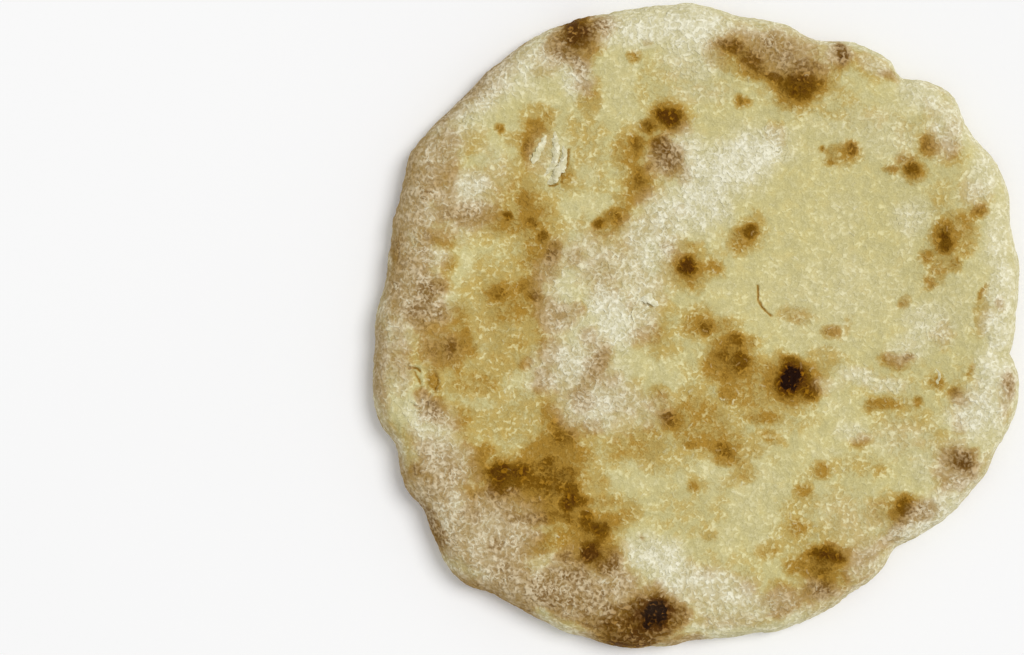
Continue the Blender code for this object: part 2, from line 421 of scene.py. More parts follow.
    (-36, -54, 4, 2.5, 0, 0.58),
    (-40, -58.5, 3, 2.5, 0, 0.54),
    (-42, -39, 11, 6, -10, 0.45),
    (-67, -43, 3.5, 5, 0, 0.46),
    (-30, -54, 7, 2.5, 5, 0.32),
    (-40, -71, 5, 2.5, 0, 0.50),
    (-39, -45, 4, 2.5, 0, 0.58),
    (-47, -42.5, 4.5, 2.5, 0, 0.56),
    (-49, -58.5, 9, 3, 3, 0.54),
    (-21, -57, 4, 4, 0, 0.26),
    (-15, -36, 6, 9, 0, 0.27),
    (-76, -30, 5, 3, 0, 0.36),
    (-57, -58, 4, 4, 0, 0.50),
    (-52, -48, 18, 10, -8, 0.44),
    (-65, -38.5, 4, 3, 0, 0.38),
    (-34, -66, 10, 11, -20, 0.43),
    (-68, -65, 14, 10, -40, 0.43),
    (-55, -78, 16, 8, -28, 0.51),
    (-36, -82, 17, 8, -15, 0.53),
    # Softer browning, middle and upper middle.
    (29, -16, 10, 6, -10, 0.48),
    (7, -13, 6, 6, 0, 0.42),
    (-3.5, 18, 9, 7, 0, 0.33),
    (6.5, 0, 6, 3, 0, 0.32),
    (-16, 50, 7, 12, 0, 0.31),
    (-12, 53, 3.5, 4, 0, 0.56),
    (-10.5, 56, 3, 3, 0, 0.58),
    (-14, 48.5, 3, 2, 0, 0.46),
    (-10, 74, 22, 8, 0, 0.08),
    (30, -73, 4, 3, 0, 0.34),
    (42, 68, 18, 7, -15, 0.10),
    (10, 79, 4, 3, 0, 0.26),
    (-17, 39.5, 2.5, 2.5, 0, 0.34),
    (-40.5, 82.5, 4, 4, 20, 0.46),
    (-4, 46, 3, 4.5, 0, 0.36),
    (-5.5, 35.5, 3, 3, 0, 0.28),
    (-22, 34, 3, 3, 0, 0.36),
    (-34, 33, 3, 3, 0, 0.18),
    (14, -45, 5, 4, 0, 0.26),
    (80, -22.5, 3, 2.5, 0, 0.36),
    (24, 58, 4, 4, 0, 0.22),
    (12, -14, 7, 6, 0, 0.36),
    (28, 69, 4, 3, 0, 0.38),
    (-25, 22, 12, 14, 20, 0.25),
    (-29, 14, 5, 10, 20, 0.30),
    (-12, 31, 8, 6, 20, 0.20),
    (-40, -11, 6, 6, 0, 0.22),
    (-68, 43, 5, 5, 0, 0.25),
    (-14, 8, 7, 14, 20, 0.20),
    (-20.5, 5.5, 2, 5, 0, 0.30),
    (-30, -11, 3.5, 7, -12, 0.50),
    (-33, -15.5, 9, 3.5, 53, 0.38),
    (-27, -17, 4, 4, 0, 0.34),
    (-26, -23, 12, 7, 0, 0.30),
    (-33, -31, 5, 4, 0, 0.36),
    (-12, -23, 4, 6, 0, 0.32),
    (-47, -16, 4, 4, 0, 0.40),
    (-52.5, -11.5, 2.5, 2.5, 0, 0.38),
    (-34, -11, 2, 3, 0, 0.44),
    (-71, -4, 2.5, 5, 0, 0.42),
    (-37, 5, 3, 3, 0, 0.34),
    (-79, -26, 3, 5, 0, 0.48),
    (-49, 14.5, 2.5, 2.5, 0, 0.44),
    (9, -17, 14, 12, -20, 0.10),
    (-3, -31, 20, 14, -10, 0.13),
    (14, 26, 7, 4, 20, 0.28),
    (-6, 25, 4, 3, 0, 0.24),
    (18, 32, 2.5, 3, 0, 0.22),
    (10, -12, 9, 6, -45, 0.22),
    (20, -24, 13, 8, -20, 0.18),
    (16, -39, 7, 3, 30, 0.24),
    (9, -41, 5, 2.5, 0, 0.37),
    (20, -28, 7, 2.5, 0, 0.37),
    (12.5, -14, 3, 2.5, 0, 0.46),
    # Softer browning, right and lower right.
    (77, 54, 5, 4, -40, 0.34),
    (66, -58, 8, 3.5, 30, 0.48),
    (77, -48, 5, 3, 35, 0.38),
    (82.5, -44, 4, 4, 0, 0.50),
    (80, -48, 3, 3, 30, 0.44),
    (84, -39, 2, 2.5, -30, 0.40),
    (20, 83, 17, 8, -18, 0.40),
    (33, 79, 6, 2.5, -10, 0.53),
    (52, 80, 8, 4, -30, 0.24),
    (70, 64, 8, 12, -40, 0.10),
    (76, 42, 7, 8, 0, 0.08),
    (84, 39, 5, 5, 0, 0.18),
    (87, 4, 4, 7, 0, 0.24),
    (72, 17, 6, 9, 0, 0.07),
    (74, 37, 4, 4, 0, 0.14),
    (75, -3, 4, 4, 0, 0.20),
    (60, -17, 14, 8, 0, 0.07),
    (29, -12, 4, 3, 0, 0.66),
    (33, -15, 2.5, 2, 0, 0.54),
    (45, 0, 2.5, 5, 0, 0.15),
    (16, -5.5, 3, 2.5, 0, 0.35),
    (9, -21, 4, 3, 0, 0.40),
    (78, 18.5, 2.5, 3, 0, 0.37),
    (39, -10, 6, 4, 0, 0.22),
    (82, -22, 8, 10, 0, 0.10),
    (79.5, -30, 3, 5, 0, 0.28),
    (66, -33, 12, 7, -20, 0.15),
    (48, -43, 10, 4, 0, 0.12),
    (5, -48, 8, 3, 0, 0.16),
    (56, -57, 6, 5, 0, 0.28),
    (46, -70, 5, 4, 0, 0.34),
    (38, -60, 14, 12, 0, 0.17),
    (38, -73, 9, 7, 0, 0.40),
    (27, -84, 10, 4, 0, 0.40),
    (50, -69, 6, 5, 0, 0.27),
    (65, -61, 12, 5, 35, 0.27),
    (61, -57.5, 3.5, 2.5, 0, 0.52),
    (60, -64, 5, 2.5, 30, 0.34),
    (0, -58, 16, 12, 0, 0.08),
    (5, -80, 14, 10, 0, 0.20),
    (8, -90, 14, 3, 3, 0.26),
    (46, -80, 14, 4, 35, 0.30),
    (56, -67, 7, 3, 45, 0.34),
    (44, -69, 3, 2.5, 0, 0.46),
    (40, -67.5, 4, 2, 0, 0.46),
    (50, -72, 3, 5, -40, 0.34),
    (84, -47, 10, 3, 60, 0.24),
)

# Floured places: x, y, half-length, half-width, turn in degrees, how much.
# Below 0, it is the share of the flour that is taken away again.
FLOURED = (
    # Upper rim, and just inside it.
    (-14.5, 91, 18.5, 5, 8, 0.80),
    (0.5, 92, 10.5, 6, -5, 0.98),
    (-27, 92.5, 5, 3, 20, 0.70),
    (-2.5, 81, 8, 6.5, -10, 0.42),
    (-4, 86, 6, 4, 0, 0.72),
    (1, 71, 8, 3, 0, 0.24),
    (-37, 76.5, 5, 5.5, 0, 0.78),
    (-42, 81, 8, 6.5, 20, 0.55),
    (-37, 86.5, 6, 6.5, 0, -0.4),
    (27, 84, 13.5, 6.5, -10, 0.42),
    (20.5, 90, 14, 3.5, -5, 0.52),
    (43, 83.5, 5, 3.5, 0, 0.46),
    (55.5, 79, 6.5, 2.5, -25, 0.50),
    (68, 71.5, 8, 5, -40, 0.60),
    (77, 61, 6, 9, -25, 0.66),
    # Left rim.
    (-56, 79.5, 13, 8, 38, 0.66),
    (-70, 69, 16, 8, 42, 0.66),
    (-78.5, 53.5, 6.5, 12, -25, 0.58),
    (-69, 42.5, 6, 4.5, 0, 0.86),
    (-74, 37, 10.5, 9, 0, 0.55),
    (-86.5, 33.5, 6.5, 15.5, -8, 0.55),
    (-88, 11, 8, 14, -4, 0.55),
    (-90.5, -4, 3.5, 5, 0, 0.55),
    (-97, -4, 4.5, 24, 0, 0.55),
    (-83, 8, 7.5, 8, 0, 0.50),
    (-82, 21, 5, 3, 0, 0.72),
    (-91, -15, 3, 8, 0, 0.45),
    (-81.5, -30.5, 10.5, 6.5, -50, 0.68),
    (-78.5, -41, 7.5, 11, 25, 0.72),
    (-78.5, -53, 8, 10.5, 20, 0.70),
    (-66.5, -65.5, 13.5, 11, -30, 0.68),
    (-62, -62, 12, 9, 0, 0.58),
    (-60.5, -76, 16, 6.5, -25, 0.66),
    # Lower rim, and thin flour right of the middle.
    (-40.5, -80.5, 17, 8, -20, 0.62),
    (-46, -81, 5, 4, 0, 0.72),
    (-78, -41, 4, 6, 20, 0.78),
    (44, 9, 22, 12, 0, 0.14),
    (-30, -76, 12, 7, -10, 0.52),
    (-17.5, -83.5, 10.5, 6, 0, 0.25),
    (-13, -70, 8.5, 5, -12, 0.96),
    (-32, -70, 6, 5, 0, -0.85),
    (-7, -76, 10, 6, -30, 0.84),
    (7.5, -80.5, 13, 5.5, -18, 0.76),
    (8, -87, 10, 3.5, -5, 0.50),
    (20.5, -85.5, 11, 4, 15, 0.50),
    (28, -90, 12, 2.5, 25, 0.42),
    (8, -92, 13, 2.5, 3, 0.46),
    (-12, -95, 14, 3, 0, 0.20),
    (-5, -89, 4, 4, 0, 0.20),
    (86, -43, 4, 7, -30, 0.36),
    (50, -62, 12, 8, -40, 0.20),
    (40.5, -83, 9, 3.5, -20, 0.40),
    # Right rim.
    (87.5, 46, 5, 9, -20, 0.62),
    (92, 27.5, 4.5, 12, -5, 0.52),
    (93, 11, 4.5, 10.5, 0, 0.66),
    (91.5, -1.5, 4.5, 7.5, 0, 0.74),
    (89, -13.5, 4.5, 7.5, 0, 0.76),
    (94.5, -18, 4, 8, 0, 0.88),
    (85, -27, 7, 8, -20, 0.88),
    (92, -30.5, 4.5, 6, 0, 0.52),
    (79, -42, 7.5, 7.5, 0, 0.42),
    (81.5, -48.5, 6, 6.5, -30, 0.66),
    (71, -58, 10.5, 5.5, 35, 0.84),
    (77, -57.5, 18, 4, 42, 0.75),
    (61.5, -64, 6, 3.5, 20, 0.66),
    (52.5, -71.5, 5, 7.5, -35, 0.52),
    # The broad drift across the middle.
    (16.5, 53.5, 10, 6.5, 5, 0.94),
    (11.5, 49, 10.5, 7.5, 20, 0.92),
    (23.5, 54, 6, 5, 0, 0.50),
    (2.5, 44.5, 7.5, 8, 30, 0.84),
    (1.5, 37, 7.5, 8.5, 20, 0.84),
    (-8, 34.5, 9, 6.5, 20, 0.84),
    (-14.5, 26, 8, 7.5, 30, 0.74),
    (-4, 54, 6, 6, 0, 0.62),
    (-10, 50, 4.5, 5.5, 0, 0.40),
    (-17.5, 15.5, 8, 9, 20, 0.58),
    (-26, 3, 6, 10, 20, 0.95),
    (-19, 3, 6, 8, 0, 0.58),
    (-34, -4.5, 6, 8, 20, 0.54),
    (-40, -11, 6.5, 6, 0, 0.92),
    (-42, -14, 9, 6.5, 0, 0.66),
    (-30, -11, 7.5, 10.5, 20, 0.56),
    (-28, -9, 3, 4, 10, -0.3),
    (-29, -24, 10.5, 7.5, 10, 0.78),
    (-37.5, -22, 6, 6.5, 0, 0.42),
    (-17.5, -26, 8, 5, 0, 0.36),
    (-42, 4.5, 6, 7.5, 0, 0.52),
    (-36, 20, 8, 9, 20, 0.46),
    (-45, 14, 5, 6, 0, 0.36),
    (-28, 17.5, 8, 8, 20, 0.50),
    # Pale flecks on the right.
    (71, 0.5, 8, 6, -20, 0.44),
    (65.5, -6, 7.5, 4.5, 30, 0.42),
    (65, 33, 5.5, 5, 0, 0.40),
    (49.5, -15.5, 6, 2.5, -15, 0.58),
    (58.5, -18.5, 5, 2, 0, 0.50),
    (40.5, -18, 4.5, 2.5, 0, 0.30),
    (48, -32.5, 6, 2.5, -10, 0.36),
    (71, -44, 6.5, 4.5, -20, 0.30),
    (61.5, -35, 9, 5, 0, 0.24),
    # Thin flour on the left and the upper right.
    (-46, 51, 5, 7, 10, 0.25),
    (-62, 49, 4, 7, 20, 0.24),
    (-79, -7, 7, 6, 0, 0.12),
    (56, 58, 11, 7, -20, 0.26),
    # Spots that stay bare of it.
    (70, 54.5, 4, 4.5, 20, -0.8),
    (47, 54, 3.5, 3.5, 0, -0.8),
    (85.5, 34.5, 3.5, 3, 0, -0.6),
    (65, 48, 4, 4, 0, -0.7),
    (13, 83, 9, 3, -38, -0.5),
)

# A dab is whole inside its inner reach and gone past its outer one, as shares
# of its half-sizes. The higher the blend, the less two dabs that overlap add
# up. The edge of a dab this broad, in millimetres, strays by this share.
DAB_INNER = 0.4
DAB_OUTER = 1.6
DAB_BLEND = 4
DAB_BROAD = 8.0
DAB_RAGGED = 0.3

# Flour that clings to the steep rim, and thin drifts of it all over the pale
# crust, which also hide this much of how toasted it is. A pair says where
# there is none of that flour and where all of it, by the height of the
# crust's normal, which is less where it is steeper, or by how toasted it is.
RIM_FLOUR = 0.55
RIM_STEEP = (0.9, 0.5)
RIM_TOASTED = (0.65, 0.35)
DRIFT_FLOUR = 0.12
DRIFT_PALE = 0.15
DRIFT_TOASTED = (0.3, 0.1)

# Where the fewest and the most crumbs lie: by the height of the crust's
# normal, as they lie open to the sky, and by how floured it is.
OPEN_SKY = (0.75, 0.95)
FLOUR_CRUMBS_FLOURED = (0.15, 0.75)
CRUST_CRUMBS_FLOURED = (0.5, 0.1)

# Ridges and furrows of the crust: points along it, half-width, height in
# millimetres, below 0 for a furrow, and how toasted it is. Round the blisters
# and under the lifted corner that toast is painted shade in the furrows.
FOLDS = (
    (((18.5, 12.3), (18.3, 10.0), (18.6, 8.0), (19.4, 6.0), (20.6, 4.6), (22.4, 2.8)),
     0.32, -0.50, 0.52),
    (((19.2, 9.4), (19.5, 7.4), (20.4, 5.8)), 0.5, 0.15, 0.0),
    (((-18.3, 16.9), (-19.5, 9.0), (-20.7, 1.7)), 1.2, -0.25, 0.0),
    (((-48.2, -4.4), (-51.8, -9.0), (-51.2, -13.6)), 1.0, -0.25, 0.0),
    (((25.1, 62.7), (29.6, 63.9), (34.2, 66.4)), 0.8, 0.25, 0.0),
    (((-13.5, -66.3), (-8.5, -71.5)), 1.2, 0.30, 0.0),
    (((-15.5, -68.5), (-11.5, -73.0)), 0.9, -0.25, 0.0),
    (((87.6, -4.4), (90.7, -8.1), (97.0, -8.6)), 1.4, -0.60, 0.0),
    (((94.0, 23.0), (90.0, 8.0), (87.0, -5.0), (81.0, -17.5)), 2.0, 0.30, 0.0),
    (((81.0, -17.5), (75.0, -31.0), (69.0, -46.0), (62.0, -60.0)), 2.0, 0.25, 0.0),
    # Round the flaking blister on the left, with painted shadow in its furrows.
    (((-39.1, 53.6), (-39.3, 51.2), (-39.6, 48.8), (-40.3, 47.4), (-41.6, 46.4)),
     0.5, -0.30, 0.46),
    (((-41.9, 46.0), (-41.2, 45.2), (-41.7, 43.9)), 0.5, -0.25, 0.50),
    (((-42.8, 43.4), (-43.7, 42.9), (-45.0, 42.8)), 0.4, -0.30, 0.52),
    (((-42.0, 53.0), (-42.2, 50.8), (-42.9, 48.6)), 0.45, -0.25, 0.26),
    # The broken blister on the left rim: its lip, its ridges and its gaps, with
    # painted shade in the gaps.
    (((-87.6, -12.3), (-85.8, -11.6), (-83.4, -12.4), (-80.9, -12.9), (-79.0, -14.9),
      (-78.3, -17.6), (-79.0, -20.2), (-81.0, -22.6), (-82.2, -25.4)), 0.7, 0.30, 0.0),
    (((-84.2, -13.6), (-83.6, -16.6), (-83.6, -19.2), (-85.2, -22.4), (-86.0, -24.0)),
     0.6, 0.35, 0.0),
    (((-81.7, -14.2), (-81.4, -17.6), (-82.2, -20.6), (-83.8, -23.4)), 0.6, 0.35, 0.0),
    (((-88.2, -13.4), (-86.9, -12.9), (-85.5, -13.1), (-84.7, -13.9)), 0.45, -0.60, 0.56),
    (((-86.3, -14.2), (-86.0, -15.3), (-84.8, -16.6), (-84.4, -17.8)), 0.35, -0.35, 0.44),
    (((-80.2, -15.2), (-79.4, -17.0), (-79.9, -19.6)), 0.45, -0.40, 0.50),
    (((-82.5, -23.6), (-83.1, -25.0)), 0.5, -0.45, 0.54),
    (((-86.6, -24.2), (-85.1, -25.3)), 0.4, -0.40, 0.42),
    # Under the lifted corner in the middle: a furrow with painted shadow.
    (((-17.0, 6.6), (-15.2, 6.3), (-13.0, 5.4)), 0.5, -0.25, 0.34),
)

# The skin is made finer round these: once round folds narrower than the first
# width, and twice round those narrower than the second one.
FINE_WIDTHS = (0.85, 0.55)
FINE_REACH = 1.3

# Flakes of skin that stand off the crust: how floured each one is, and stations
# along it, with x, y, half-width, and the height of the left and the right edge,
# in millimetres.
FLAKES = (
    # The flaking blister on the left.
    (0.50, ((-46.5, 58.0, 0.3, 0.0, -0.1), (-46.9, 56.6, 0.8, 0.1, 0.1),
            (-47.7, 55.2, 0.8, 0.1, 0.2), (-48.3, 54.0, 1.0, 0.1, 0.3),
            (-48.6, 52.8, 0.8, 0.1, 0.4), (-49.3, 51.6, 1.2, 0.1, 0.5),
            (-49.9, 50.4, 0.9, 0.0, 0.4), (-50.2, 49.3, 0.4, -0.1, 0.1))),
    (0.55, ((-43.7, 59.2, 0.3, 0.1, -0.1), (-43.5, 57.0, 0.8, 0.2, 0.1),
            (-43.3, 54.8, 1.0, 0.4, 0.1), (-43.1, 52.8, 1.3, 0.5, 0.2),
            (-43.5, 50.6, 1.0, 0.4, 0.2), (-44.2, 48.8, 0.9, 0.3, 0.1),
            (-45.5, 47.2, 0.6, 0.2, 0.0), (-46.9, 45.8, 0.3, 0.0, -0.1))),
    (0.60, ((-41.1, 54.8, 0.2, 0.2, 0.0), (-40.6, 53.2, 0.8, 0.5, 0.1),
            (-40.6, 51.4, 1.0, 0.7, 0.2), (-40.9, 49.9, 1.1, 0.8, 0.2),
            (-41.4, 48.6, 1.4, 0.8, 0.2), (-42.5, 47.2, 1.4, 0.7, 0.2),
            (-43.3, 45.9, 1.3, 0.6, 0.2), (-43.7, 44.7, 1.3, 0.6, 0.1),
            (-44.8, 43.9, 0.9, 0.4, 0.1), (-46.0, 43.6, 0.4, 0.1, -0.1))),
    # The lifted corner in the middle, and the curled thread beside it.
    (0.95, ((-17.7, 7.7, 0.3, -0.1, 0.1), (-16.6, 8.2, 1.2, -0.1, 0.6),
            (-15.4, 8.3, 1.7, -0.1, 0.9), (-14.2, 7.6, 1.4, -0.1, 0.9),
            (-13.0, 6.8, 0.9, -0.1, 0.6), (-12.0, 6.1, 0.3, -0.1, 0.1))),
    (0.60, ((-19.4, 5.2, 0.2, 0.0, 0.1), (-20.0, 3.8, 0.3, 0.1, 0.3),
            (-19.9, 2.4, 0.3, 0.1, 0.3), (-19.2, 0.9, 0.2, 0.0, 0.1))),
    # The rim of the small blister on the right.
    (0.30, ((72.6, -13.3, 0.2, 0.1, 0.0), (73.7, -14.3, 0.3, 0.3, 0.0),
            (73.8, -15.8, 0.35, 0.3, 0.0), (73.0, -17.0, 0.4, 0.3, 0.0),
            (73.4, -17.8, 0.3, 0.1, 0.0))),
)

# Rows of a flake for each station, and the places across it, from its left
# edge to its right one. It is arched by a share of its half-width, its edges
# stray by a share at this pitch, and it is hardly toasted.
FLAKE_STEPS = 4
FLAKE_SHARES = (1.0, 0.6, 0.2, -0.2, -0.6, -1.0)
FLAKE_ARCH = 0.25
FLAKE_RAGGED = 0.7
FLAKE_PITCH = 0.9
FLAKE_TOASTED = 0.02


# ------------------------------------------------------------------ numbers


def screen_colour(red, green, blue):
    """A colour as seen on a screen, 0 to 255, as the linear one a shader takes."""

    def linear(value):
        share = value / 255.0
        if share <= 0.04045:
            return share / 12.92
        return ((share + 0.055) / 1.055) ** 2.4

    return (linear(red), linear(green), linear(blue), 1.0)


def smooth_step(low, high, values):
    """0 at low and 1 at high, eased at both ends. Low may be the larger one."""
    share = np.clip((values - low) / (high - low), 0.0, 1.0)
    return share * share * (3.0 - 2.0 * share)


def bell(distances, half_width):
    """1 on a line, falling off smoothly to its sides."""
    return np.exp(-((distances / half_width) ** 2))


def noise_field(places, pitch, shift=0.0):
    """Smooth noise from -1 to 1 at places in millimetres, another by shift."""
    move = Vector((shift, -shift, 0.7 * shift))
    return np.array([noise.noise(Vector(place) / pitch + move) for place in places])


def warped(places, pitch, amount, shift=0.0):
    """The places, each moved a little by smooth noise."""
    move = Vector((shift, -shift, 0.7 * shift))
    offsets = [noise.noise_vector(Vector(place) / pitch + move) for place in places]
    return places + amount * np.array(offsets)


def dab_field(places, dabs, shift):
    """How strongly soft-edged oval dabs cover places, both in millimetres.

    A dab of negative strength takes that share away again. The broader a dab
    is, the more ragged is its edge.
    """
    broad_pitch, fine_pitch = RAGGED_PITCHES
    ragged = noise_field(places, broad_pitch, shift)
    ragged = ragged + 0.5 * noise_field(places, fine_pitch, shift)
    total = np.zeros(len(places))
    bare = np.ones(len(places))
    for x, y, half_length, half_width, turn, strength in dabs:
        angle = math.radians(turn)
        dx = places[:, 0] - x
        dy = places[:, 1] - y
        along = (dx * math.cos(angle) + dy * math.sin(angle)) / half_length
        across = (dy * math.cos(angle) - dx * math.sin(angle)) / half_width
        broad = min(half_length, half_width, DAB_BROAD) / DAB_BROAD
        reach = np.hypot(along, across) + DAB_RAGGED * broad * ragged
        cover = strength * smooth_step(DAB_OUTER, DAB_INNER, reach)
        if strength > 0.0:
            total += cover**DAB_BLEND
        else:
            bare *= 1.0 + cover
    return np.minimum(total ** (1.0 / DAB_BLEND), 1.0) * bare


def distance_to_line(places, points):
    """Distance in plan from places to a line through points."""
    nearest = np.full(len(places), np.inf)
    for start, end in zip(points, points[1:]):
        start = np.array(start)
        step = np.array(end) - start
        share = np.clip((places[:, :2] - start) @ step / (step @ step), 0.0, 1.0)
        gap = places[:, :2] - start - share[:, None] * step
        nearest = np.minimum(nearest, np.hypot(gap[:, 0], gap[:, 1]))
    return nearest


# --------------------------------------------------------------- properties


def size_property(name, description, default):
    """A length in metres that a user can change."""
    return bpy.props.FloatProperty(
        name=name, description=description, default=default, unit="LENGTH"
    )


def colour_property(name, description, default):
    """A colour that a user can change."""
    return bpy.props.FloatVectorProperty(
        name=name,
        description=description,
        default=default,
        size=4,
        min=0.0,
        max=1.0,
        subtype="COLOR",
    )


class LoafSizes(bpy.types.PropertyGroup):
    """Sizes of the crust's relief."""

    rim_roll: size_property("Rim roll", "How far in the rim rolls over", 0.010)
    edge_height: size_property("Edge height", "Height of the widest outline", 0.005)
    swell_pitch: size_property("Swell pitch", "Pitch of the soft swells", 0.009)
    swell_height: size_property("Swell height", "Height of the soft swells", 0.00025)
    wrinkle_pitch: size_property("Wrinkle pitch", "Pitch of the wrinkles", 0.0034)
    wrinkle_height: size_property("Wrinkle height", "Height of wrinkles", 0.00032)
    pebble_pitch: size_property("Pebble pitch", "Pitch of the fine bumps", 0.0017)
    pebble_height: size_property("Pebble height", "Height of fine bumps", 0.00010)
    foot_relief: size_property("Foot relief", "Unevenness of the foot", 0.00035)


class CrustColours(bpy.types.PropertyGroup):
    """Colours of the crust, from pale dough to char, and of the flour."""

    cream: colour_property("Cream", "Raised pale curls", screen_colour(226, 217, 164))
    pale: colour_property("Pale", "Untoasted crust", screen_colour(207, 196, 137))
    warm: colour_property("Warm", "Barely toasted crust", screen_colour(191, 166, 95))
    golden: colour_property("Golden", "Golden crust", screen_colour(168, 129, 50))
    brown: colour_property("Brown", "Brown crust", screen_colour(117, 80, 7))
    dark: colour_property("Dark", "Dark crust", screen_colour(88, 52, 0))
    char: colour_property("Char", "Charred crust", screen_colour(30, 9, 0))
    flour: colour_property("Flour", "Flour on the crust", screen_colour(241, 237, 212))
    thin_flour: colour_property(
        "Thin flour", "Thin flour on the crust", screen_colour(207, 200, 163)
    )
    browned_flour: colour_property(
        "Browned flour", "Flour on toasted crust", screen_colour(211, 191, 154)
    )
    browned_film: colour_property(
        "Browned film", "Thin flour on toasted crust", screen_colour(167, 140, 98)
    )


class CrumbSizes(bpy.types.PropertyGroup):
    """Sizes of the crumbs and of the flakes on the crust."""

    length: size_property("Length", "Length of a crumb", 0.0015)
    half_width: size_property("Half-width", "Half the width of a crumb's foot", 0.0007)
    flatness: bpy.props.FloatProperty(
        name="Flatness",
        description="A crumb's height as a share of its half-width",
        default=0.20,
        subtype="FACTOR",
    )
    sunk: size_property("Sunk", "How deep a crumb sits in the crust", 0.000065)
    flour_spacing: size_property("Flour spacing", "Least gap of flour crumbs", 0.0011)
    crust_spacing: size_property("Crust spacing", "Least gap of crust crumbs", 0.0024)
    flake_thickness: size_property("Flake thickness", "Thickness of a flake", 0.00016)


class StageSizes(bpy.types.PropertyGroup):
    """The camera, the floor and the light."""

    camera_height: size_property("Camera height", "Camera above the floor", 0.8)
    floor_size: size_property("Floor size", "Side of the floor", 6.0)
    sun_strength: bpy.props.FloatProperty(
        name="Sun strength", description="Strength of the soft key light", default=1.64
    )
    sky_strength: bpy.props.FloatProperty(
        name="Sky strength", description="Strength of the light all round", default=0.55
    )


# --------------------------------------------------------------- the skin


def smooth_solid():
    """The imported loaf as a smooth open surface, for the skin to be laid on."""
    bm = bmesh.new()
    bm.from_mesh(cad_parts[LOAF_NODE].data)
    bmesh.ops.remove_doubles(bm, verts=bm.verts, dist=WELD)
    foot = [face for face in bm.faces if max(v.co.z for v in face.verts) < WELD]
    bmesh.ops.delete(bm, geom=foot, context="FACES")
    mesh = bpy.data.meshes.new("smooth_solid")
    bm.to_mesh(mesh)
    bm.free()
    helper = bpy.data.objects.new("smooth_solid", mesh)
    bpy.context.scene.collection.objects.link(helper)
    subdivision = helper.modifiers.new("smooth", "SUBSURF")
    subdivision.levels = 2
    subdivision.render_levels = 2
    graph = bpy.context.evaluated_depsgraph_get()
    tree = BVHTree.FromObject(helper, graph)
    bpy.data.objects.remove(helper)
    bpy.data.meshes.remove(mesh)
    return tree


def reach_at_height(tree, height):
    """Distance from the middle to the side, in each direction, at one height."""
    reaches = []
    for turn in np.linspace(0.0, 2.0 * math.pi, EDGE_POINTS, endpoint=False):
        outward = Vector((math.cos(turn), math.sin(turn), 0.0))
        start = outward + Vector((0.0, 0.0, height))
        hit = tree.ray_cast(start, -outward)[0]
        reaches.append(hit.xy.length)
    return np.array(reaches)


def crust_points(tree, sizes, edge_reach):
    """Points of the crust, ring by ring from the middle, and their map radii."""
    turns = np.linspace(0.0, 2.0 * math.pi, EDGE_POINTS + 1)
    reaches = np.append(edge_reach, edge_reach[0])
    points = []
    radii = []
    for ring in range(TOP_RINGS + 1):
        rolled = max(ring - FLAT_RINGS, 0) / ROLL_RINGS * math.pi / 2.0
        inset = sizes.rim_roll * (1.0 - math.sin(rolled))
        extra = sizes.rim_roll * (rolled - math.sin(rolled))
        for index in range(max(6 * ring, 1)):
            turn = 2.0 * math.pi * index / max(6 * ring, 1)
            reach = np.interp(turn, turns, reaches)
            radius = (reach - inset) * min(ring / FLAT_RINGS, 1.0)
            x = radius * math.cos(turn)
            y = radius * math.sin(turn)
            hit = tree.ray_cast(Vector((x, y, 1.0)), DOWN)[0]
            on_crust = ring < TOP_RINGS and hit is not None
            points.append((x, y, hit.z if on_crust else sizes.edge_height))
            radii.append(radius + extra)
    return points, radii


def side_points(tree, sizes, edge_reach):
    """Points of the side below the widest outline, and their map radii."""
    points = []
    radii = []
    turns = np.linspace(0.0, 2.0 * math.pi, EDGE_POINTS, endpoint=False)
    roll_extra = sizes.rim_roll * (math.pi / 2.0 - 1.0)
    for share in SIDE_HEIGHTS:
        height = sizes.edge_height * share
        reach = reach_at_height(tree, max(height, LOWEST_RAY))
        down = sizes.edge_height * (1.0 - share)
        for turn, radius, edge in zip(turns, reach, edge_reach):
            points.append((radius * math.cos(turn), radius * math.sin(turn), height))
            radii.append(edge + roll_extra + math.hypot(edge - radius, down))
    return points, radii


def foot_points(foot_reach):
    """Points of the foot: two rings of half and a quarter as many, then a fan."""
    points = []
    step = 1.0 / (FOOT_RINGS + 2)
    for thinned, share in ((2, 1.0 - step), (4, 1.0 - 2.0 * step)):
        for index in range(0, EDGE_POINTS, thinned):
            turn = 2.0 * math.pi * index / EDGE_POINTS
            radius = foot_reach[index] * share
            points.append((radius * math.cos(turn), radius * math.sin(turn), 0.0))
    for ring in range(FOOT_RINGS - 1, -1, -1):
        count = max(6 * ring, 1)
        for index in range(count):
            turn = 2.0 * math.pi * index / count
            edge = foot_reach[round(index * EDGE_POINTS / count) % EDGE_POINTS]
            radius = edge * (1.0 - 2.0 * step) * ring / FOOT_RINGS
            points.append((radius * math.cos(turn), radius * math.sin(turn), 0.0))
    return points


def fan_faces(ring, inner, outer):
    """Triangles between a fan's ring and the next smaller one, by first points."""
    faces = []
    inner_count = max(6 * (ring - 1), 1)
    for sector in range(6):
        for step in range(ring):
            a = outer + sector * ring + step
            b = outer + (sector * ring + step + 1) % (6 * ring)
            near = inner + (sector * (ring - 1) + step) % inner_count
            faces.append((near, a, b))
            if step + 1 < ring:
                far = inner + (sector * (ring - 1) + step + 1) % inner_count
                faces.append((near, b, far))
    return faces


def band_faces(upper, lower, count):
    """Triangles between two rings of the same number of points."""
    faces = []
    for index in range(count):
        after = (index + 1) % count
        faces.append((upper + after, upper + index, lower + index))
        faces.append((upper + after, lower + index, lower + after))
    return faces


